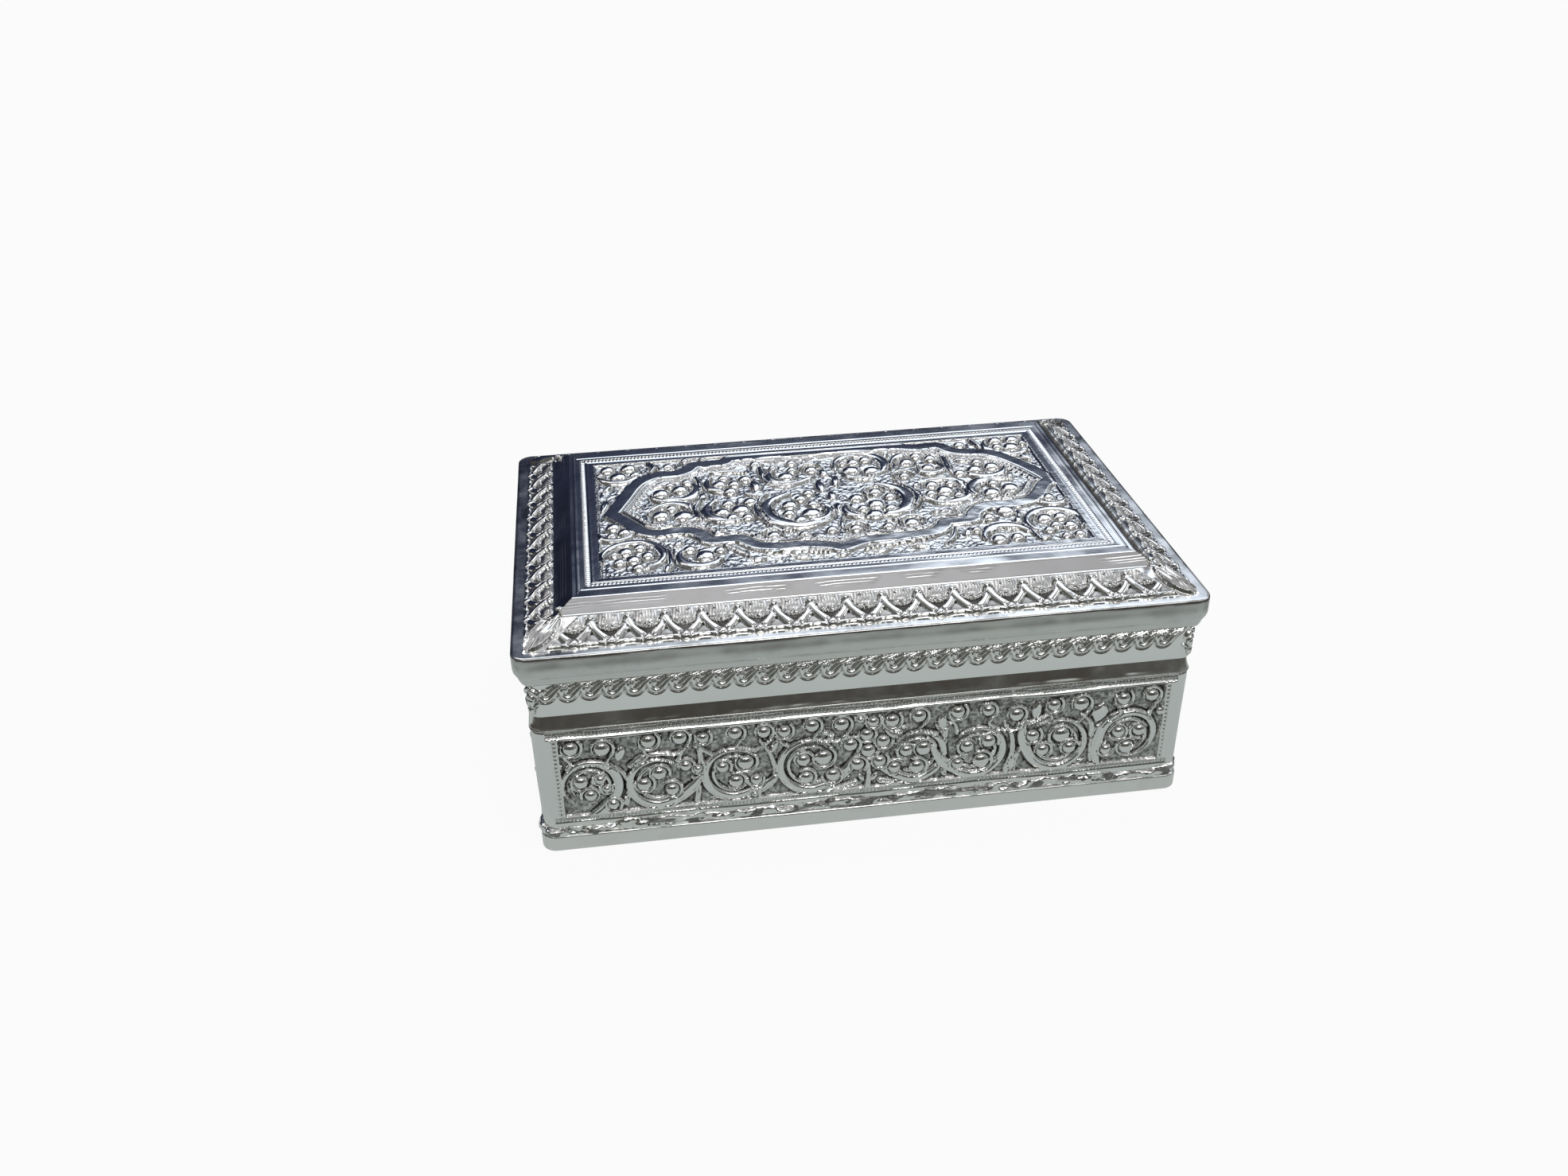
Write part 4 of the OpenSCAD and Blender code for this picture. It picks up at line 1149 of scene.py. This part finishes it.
def gadroonRelief(field, side, z):
    # leaning gadroons: round feet whose stems sweep up to the right in three soft strokes
    a = field["x"]
    field["y"] = z
    count = skirt["counts"][side % 2]
    pitch = (sideLength(side) - 2 * skirt["endSpace"]) / count
    k = pitch / skirt["unit"]
    end = sideLength(side) / 2 - skirt["endStop"]
    field["ground"] = 0 * a
    for n in range(count):
        c = (n - (count - 1) / 2) * pitch + skirt["shift"]

        def placed(line):
            return roundLine([(min(max(c + px * k, -end), end), pz) for px, pz in line], 5)

        for line, width, tall in skirt["strokes"]:
            stroke(field, placed(line), width, tall, (), 0.07, True)
        # painted shade along the cuts
        for line, wide, depth, dark in skirt["cuts"]:
            cut(field, placed(line), wide, depth, dark)
    # small leaf on a forked stem at the corners
    start = sideLength(side) / 2 - skirt["cornerStart"]
    for hand in (-1, 1):
        for px, pz, turn in skirt["leaves"]:
            leaf(field, hand * (start + px), pz, *skirt["leafSize"], turn if hand > 0 else 180 - turn, 0.5)
        for points, width, tall in skirt["stems"]:
            stroke(field, np.array([(hand * (start + px), pz) for px, pz in points]), width, tall)
    fades = skirt["fades"]
    field["h"] *= ease(z, *fades[:2]) * (1 - ease(z, *fades[2:]))
    field["h"] += dents(a, z, skirt["dents"], side)
    if side == 2:
        field["notch"] = (z < skirt["notchTop"]) & (np.abs(a) < box["hingeReach"])


def makeSkirt(side):
    name, grid = "gadroon_skirt_" + sideNames[side], (skirt["spacing"], skirt["rows"])
    obj, field = moulding(name, side, skirt["profile"], *grid, skirt["backing"], gadroonRelief)
    finishChased(obj, field, 4, chased, "lid", ["skirt_" + sideNames[side]])


rim = {
    "profile": [
        (1.85, 34.75), (1.45, 35.0), (1.12, 35.6), (0.85, 36.3), (0.5, 36.9), (0.2, 37.5), (0.12, 38.4),
        (0.12, 39.6), (0.1, 40.5), (0.16, 40.82), (0.4, 40.98), (0.9, 41.0), (2.25, 41.0)],
    "spacing": 0.45, "rows": 48, "thickness": 0.5, "mostRise": 0.06, "dents": [(0.07, 9, 91), (0.02, 2.2, 92)],
}


def rimRelief(field, side, z):
    t = field["y"]
    rise = dents(field["x"], t, rim["dents"], side) * ease(t, 0, 0.6) * (1 - ease(z, 40.2, 40.9))
    field["h"] = np.minimum(rise, rim["mostRise"])


def makeRim(side):
    profile, name = roundLine(rim["profile"], 4), "lid_rim_" + sideNames[side]
    obj, field = sweepProfile(name, side, profile, box["rimCorner"], 1.0, rim["spacing"], rim["rows"], rimRelief)
    thicken(obj, rim["thickness"])
    finishPlain(obj, rimSilver, "lid", ["rim_" + sideNames[side]])


shoulder = {
    "lip": [(1.95, 25.3), (1.66, 25.36), (1.6, 25.5), (1.72, 25.64)], "tip": (0.68, 2.6), "tipSteps": 12,
    "backing": (3.4, 25.3, 28.28), "spacing": 0.4, "rows": 30, "notchLow": 26.85,
    "dents": [(0.09, 6, 101), (0.04, 1.8, 102)],
}


def shoulderRelief(field, side, z):
    field["h"] = dents(field["x"], field["y"], shoulder["dents"], side) * ease(z, 25.8, 26.4)
    if side == 2:
        field["notch"] = (z > shoulder["notchLow"]) & (np.abs(field["x"]) < box["hingeReach"])


def makeShoulder(side):
    (tipIn, tipUp), steps = shoulder["tip"], shoulder["tipSteps"]
    tipped = [(1.7 + tipIn * k / steps, 25.64 + tipUp * k / steps) for k in range(1, steps + 1)]
    profile = np.vstack([roundLine(shoulder["lip"], 4), tipped])
    name, grid = "shoulder_band_" + sideNames[side], (shoulder["spacing"], shoulder["rows"])
    obj, field = moulding(name, side, profile, *grid, shoulder["backing"], shoulderRelief)
    finishPlain(obj, sheetSilver, "box", ["shoulder_" + sideNames[side]])


plinth = {
    "profile": [(1.85, 0.0), (1.66, 0.12), (1.6, 0.4), (1.6, 1.4), (1.6, 2.5), (1.66, 2.9), (1.85, 3.12), (2.3, 3.2)],
    "backing": (2.46, 0.0, 3.2), "spacing": 0.45, "rows": 28, "dents": [(0.07, 12, 111), (0.02, 2.6, 112)],
}


def plinthRelief(field, side, z):
    field["h"] = dents(field["x"], field["y"], plinth["dents"], side) * ease(field["y"], 0.1, 0.5)


def makePlinth(side):
    profile, name = roundLine(plinth["profile"], 4), "plinth_strip_" + sideNames[side]
    obj, field = moulding(name, side, profile, plinth["spacing"], plinth["rows"], plinth["backing"], plinthRelief)
    finishPlain(obj, sheetSilver, "box", ["plinth_" + sideNames[side]])


for side in range(4):
    makeSkirt(side)
    makeRim(side)
    makeShoulder(side)
    makePlinth(side)
print("mouldings run")


# rough solder that joins the walls to the plinth
solder = {
    "profile": [(2.2, 3.05), (1.8, 3.3), (1.7, 3.8), (1.78, 4.3), (2.0, 4.8), (2.35, 5.1)],
    "backing": (2.5, 3.1, 5.1), "spacing": 0.2, "rows": 16,
    # rise, drawn out along the seam, size, first seed
    "lumps": [(0.42, 2.8, 1.1, 121), (0.22, 2.2, 0.6, 122), (0.08, 1, 0.42, 123)],
}


def solderRelief(field, side, z):
    a, t = field["x"], field["y"]
    lumps = sum(rise * smoothNoise(a / drawn, t, size, seed + side) for rise, drawn, size, seed in solder["lumps"])
    field["h"] = (lumps + 0.16 * smoothNoise(a, 0 * a, 6, 124 + side)) * ease(t, 0, 0.3)
    field["ground"] = 0.85 * ease(smoothNoise(a / 2.8, t, 0.8, 125 + side), 0.0, 0.4)


def makeSolder():
    profile, parts = roundLine(solder["profile"], 4), []
    for side in range(4):
        name, grid = "solder_seam_" + sideNames[side], (solder["spacing"], solder["rows"])
        obj, field = moulding(name, side, profile, *grid, solder["backing"], solderRelief)
        storeHollowsAndShade(obj, field, 3)
        smoothShade(obj)
        parts.append(obj)
    finishPiece(joinParts(parts, "solder_seam"), chased, "box", ["solder_wire"])


makeSolder()
print("solder run")


# small heart leaves where the lid's slopes meet
sprig = {"out": (8.9, 9.9), "z": 44.5, "size": 0.75, "shape": (1.0, 0.42, 0.5), "spread": 0.5, "apart": 0.35}


def makeSprigs():
    parts = []
    for sx, sy, lean in [(sx, sy, lean) for sx in (-1, 1) for sy in (-1, 1) for lean in (-1, 1)]:
        deselectAll()
        bpy.ops.mesh.primitive_uv_sphere_add(segments=20, ring_count=12, radius=sprig["size"] * mm)
        turn = math.atan2(sy, sx) + lean * sprig["spread"]
        bpy.ops.transform.resize(value=sprig["shape"])
        bpy.ops.transform.rotate(value=-turn, orient_axis="Z", center_override=(0, 0, 0))
        x = sx * (box["length"] / 2 - sprig["out"][0]) + sprig["apart"] * math.cos(turn)
        y = sy * (box["depth"] / 2 - sprig["out"][1]) + sprig["apart"] * math.sin(turn)
        bpy.ops.transform.translate(value=(x * mm, y * mm, sprig["z"] * mm))
        bpy.ops.object.transform_apply(location=True, rotation=True, scale=True)
        parts.append(bpy.context.object)
    leaves = joinParts(parts, "corner_sprigs")
    smoothShade(leaves, 80)
    leaves.data.materials.append(polished)
    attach(leaves, "lid")


makeSprigs()


# velvet over padded boards: a thin cushion blown up by a short cloth simulation
cushion = {
    "thick": 5, "drawnIn": 3, "voxel": 2.2, "frames": 20, "quality": 6, "mass": 0.3, "stretch": 25, "bending": 2.0,
    "creases": [(0.16, 7, 131), (0.05, 2.2, 132)],
}
pads = [
    {"name": "velvet_floor_pad", "node": "lining_floor", "body": "box", "size": (110.6, 73.6, 2.3),
     "place": (0, 0, 2.3), "turn": None, "fill": 0.6, "puff": 4.0},
    {"name": "velvet_lid_pad", "node": "lid_lining", "body": "lid", "size": (113.4, 76.4, 1.5),
     "place": (0, 0, 39.35), "turn": None, "fill": 0.5, "puff": 3.0},
]
for where, turn, size, x, y in (
        ("front", "X", (112.9, 23.3, 0.9), 0, -37.5), ("back", "X", (112.9, 23.3, 0.9), 0, 37.5),
        ("left", "Y", (23.3, 73.6, 0.9), -56.0, 0), ("right", "Y", (23.3, 73.6, 0.9), 56.0, 0)):
    pads.append({"name": "velvet_board_" + where, "node": "lining_" + where, "body": "box", "size": size,
                 "place": (x, y, 12.85), "turn": turn, "fill": 0.5, "puff": 3.0})


def blowUp(obj, puff):
    cloth = obj.modifiers.new("cloth", "CLOTH")
    cloth.settings.quality = cushion["quality"]
    cloth.settings.mass = cushion["mass"]
    cloth.settings.tension_stiffness = cloth.settings.compression_stiffness = cushion["stretch"]
    cloth.settings.bending_stiffness = cushion["bending"]
    cloth.settings.use_pressure = True
    cloth.settings.uniform_pressure_force = puff
    cloth.settings.effector_weights.gravity = 0
    cloth.point_cache.frame_start, cloth.point_cache.frame_end = 1, cushion["frames"]
    for now in range(1, cushion["frames"] + 1):
        scene.frame_set(now)
    applyAll(obj)
    scene.frame_set(1)


def makePad(pad):
    deselectAll()
    width, depth = pad["size"][:2]
    bpy.ops.mesh.primitive_cube_add(size=1)
    obj = bpy.context.object
    obj.name = obj.data.name = pad["name"]
    shrink = cushion["drawnIn"]
    bpy.ops.transform.resize(value=((width - shrink) * mm, (depth - shrink) * mm, cushion["thick"] * mm))
    bpy.ops.object.transform_apply(location=False, rotation=False, scale=True)
    remesh = obj.modifiers.new("remesh", "REMESH")
    remesh.mode = "VOXEL"
    remesh.voxel_size = cushion["voxel"] * mm
    remesh.use_smooth_shade = True
    applyAll(obj)
    blowUp(obj, pad["puff"])
    obj.modifiers.new("finer", "SUBSURF").levels = 1
    applyAll(obj)
    # keeps the blown shape inside the pad's own room
    places = getPlaces(obj)
    for axis, room in enumerate(pad["size"]):
        places[:, axis] *= room / 2 / np.abs(places[:, axis]).max()
    creases = dents(places[:, 0], places[:, 1], cushion["creases"])
    places[:, 2] -= np.sign(places[:, 2]) * np.abs(creases)
    if pad["turn"] == "X":
        places = places[:, [0, 2, 1]] * [1, -1, 1]
    if pad["turn"] == "Y":
        places = places[:, [2, 1, 0]] * [-1, 1, 1]
    setPlaces(obj, places + pad["place"])
    pick(obj)
    bpy.ops.object.shade_smooth()
    finishPiece(obj, velvet, pad["body"], [pad["node"]])


for pad in pads:
    makePad(pad)
print("lining padded")


# carried-over frame parts
for name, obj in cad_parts.items():
    if name.startswith(("bezel", "base_plate", "body_knuckles", "lid_knuckles", "hinge_pin")):
        obj.data.materials.clear()
        obj.data.materials.append(polished)


# white card to the camera; to glossy rays it glows as a painted reflection, a grey-green sheet, a little darker close
# to the box as painted shade, that ends a hand's breadth from the box
card = {
    "size": 6, "colour": (0.86, 0.87, 0.86), "roughness": 0.9, "white": 0.93, "patchy": 0.035, "scale": 6.0,
    "sheet": [
        (0.0, (0.43, 0.46, 0.45)), (0.05, (0.40, 0.435, 0.425)), (0.2, (0.42, 0.455, 0.445)),
        (0.355, (0.47, 0.51, 0.50)), (0.39, (0.34, 0.355, 0.345)), (0.45, (0.23, 0.235, 0.225)),
        (0.53, (0.085, 0.08, 0.07)), (1.0, (0.06, 0.055, 0.05))],
}


def addFloor():
    deselectAll()
    bpy.ops.mesh.primitive_plane_add(size=card["size"], location=(0, 0, 0))
    floor = bpy.context.object
    floor.name = "floor"
    material, tree, shader = newMaterial("paleFloor")
    shader.inputs["Base Color"].default_value = (*card["colour"], 1)
    shader.inputs["Roughness"].default_value = card["roughness"]
    path = tree.nodes.new("ShaderNodeLightPath")
    white = addNode(tree, "ShaderNodeEmission", Color=(1, 1, 1), Strength=1.0)
    whiteShare = blendMath(tree, "MULTIPLY", path.outputs["Is Camera Ray"], card["white"])
    seen = mixShader(tree, whiteShare, shader.outputs[0], white.outputs[0])
    place = ownPlace(tree)
    x, y = addNode(tree, "ShaderNodeSeparateXYZ", Vector=place).outputs[:2]
    # distance out from the box's footprint, in metres
    halves = ((x, box["length"] / 2 * mm), (y, box["depth"] / 2 * mm))
    beyond = [blendMath(tree, "SUBTRACT", blendMath(tree, "ABSOLUTE", way, 0), half) for way, half in halves]
    cloud = noise(tree, place, 28.0, 4.0, Distortion=0.8)
    away = blendMath(tree, "ADD", blendMath(tree, "MAXIMUM", *beyond), scatter(tree, cloud, card["patchy"]))
    # painted reflection colour by distance from the box: painted shade near it, grey-green further out, dark beyond
    sheet = ramp(tree, blendMath(tree, "MULTIPLY", away, card["scale"]), card["sheet"])
    near = addNode(tree, "ShaderNodeEmission", Color=sheet, Strength=1.0)
    mirrored = mixShader(tree, path.outputs["Is Glossy Ray"], seen, near.outputs[0])
    fill(tree, tree.nodes["Material Output"].inputs["Surface"], mirrored)
    floor.data.materials.append(material)


# bright openings of the room that the silver mirrors
# azimuth from the far side towards the right, elevation, reach, soft edge, colour
openings = [
    (20, 49.5, 21.0, 5, (1.2, 1.32, 1.5)), (172, 42, 13, 4, (1.9, 1.9, 1.9)), (138, 46, 9, 3, (1.7, 1.7, 1.7)),
    (208, 46, 9, 3, (1.7, 1.7, 1.7)), (27, 69, 8, 4, (1.9, 1.9, 1.9)), (-60, 66, 6, 2, (2.0, 1.95, 1.95)),
    (-70, 40, 9, 3, (1.7, 1.65, 1.65)), (78, 40, 11, 4, (1.6, 1.62, 1.65)), (-30, 52, 6, 2.5, (1.8, 1.8, 1.85)),
    (150, 73, 10, 5, (0.5, 0.495, 0.515)), (120, 66, 4, 2, (1.9, 1.9, 1.9)),
]
# low walls: brown and green behind the camera, navy on the far side, grey on the right; a taupe ceiling with clouds
roomTones = {
    "low": [(0.36, (0.045, 0.04, 0.034)), (0.52, (0.075, 0.08, 0.068)), (0.66, (0.17, 0.18, 0.17))],
    "navy": [(0.36, (0.010, 0.012, 0.022)), (0.55, (0.022, 0.028, 0.055)), (0.75, (0.07, 0.085, 0.13))],
    "grey": [(0.40, (0.05, 0.05, 0.06)), (0.54, (0.24, 0.25, 0.26)), (0.68, (0.8, 0.8, 0.82))],
    "ceiling": [
        (0.35, (0.20, 0.195, 0.20)), (0.52, (0.40, 0.40, 0.415)), (0.66, (0.56, 0.57, 0.60)),
        (0.78, (1.0, 1.0, 1.02))],
}


def addWorld():
    world = bpy.data.worlds.new("studio")
    scene.world = world
    world.use_nodes = True
    tree = world.node_tree
    tree.nodes.clear()
    output = tree.nodes.new("ShaderNodeOutputWorld")
    aim = tree.nodes.new("ShaderNodeTexCoord").outputs["Generated"]
    wobble = addNode(tree, "ShaderNodeTexNoise", Vector=aim, Scale=4.0, Detail=3.0).outputs["Color"]
    patch = noise(tree, aim, 5.0, 4.0, Distortion=0.5)
    shift = vectorMath(tree, "MULTIPLY_ADD", wobble, (0.10, 0.10, 0.10), (-0.05, -0.05, -0.05))
    way = vectorMath(tree, "ADD", aim, shift.outputs[0]).outputs[0]
    x, y, z = addNode(tree, "ShaderNodeSeparateXYZ", Vector=way).outputs
    tones = {name: ramp(tree, patch, stops) for name, stops in roomTones.items()}
    room = mixColour(tree, tones["low"], tones["navy"], easeNode(tree, y, -0.1, 0.1))
    room = mixColour(tree, room, tones["grey"], easeNode(tree, x, 0.42, 0.62))
    room = mixColour(tree, room, tones["ceiling"], easeNode(tree, z, 0.62, 0.84))
    for azimuth, elevation, reach, soft, colour in openings:
        a, e = math.radians(azimuth), math.radians(elevation)
        aimed = (math.sin(a) * math.cos(e), math.cos(a) * math.cos(e), math.sin(e))
        near = vectorMath(tree, "DOT_PRODUCT", way, aimed).outputs["Value"]
        inner, outer = (math.cos(math.radians(reach + k * soft)) for k in (-0.5, 0.5))
        room = mixColour(tree, room, colour, easeNode(tree, near, outer, inner))
    inside = addNode(tree, "ShaderNodeBackground", Color=room)
    outside = addNode(tree, "ShaderNodeBackground", Color=(1, 1, 1), Strength=1.0)
    path = tree.nodes.new("ShaderNodeLightPath")
    mixed = mixShader(tree, path.outputs["Is Camera Ray"], inside.outputs[0], outside.outputs[0])
    fill(tree, output.inputs["Surface"], mixed)


softbox = {"place": (0.05, -0.43, 0.41), "size": 0.2, "power": 0.2}


def addSoftbox():
    place = np.array(softbox["place"])
    back = place / np.linalg.norm(place)
    bpy.ops.object.light_add(type="AREA", location=softbox["place"])
    lamp = bpy.context.object
    lamp.name = "softbox"
    lamp.data.shape = "DISK"
    lamp.data.size = softbox["size"]
    lamp.data.energy = softbox["power"]
    right = np.cross([0, 1, 0], back)
    right /= np.linalg.norm(right)
    lamp.matrix_world = facing(right, np.cross(back, right), back, softbox["place"])


addFloor()
addWorld()
addSoftbox()
print("studio lit")

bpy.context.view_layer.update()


def plain(values):
    return [[float(v) for v in corner] for corner in values]
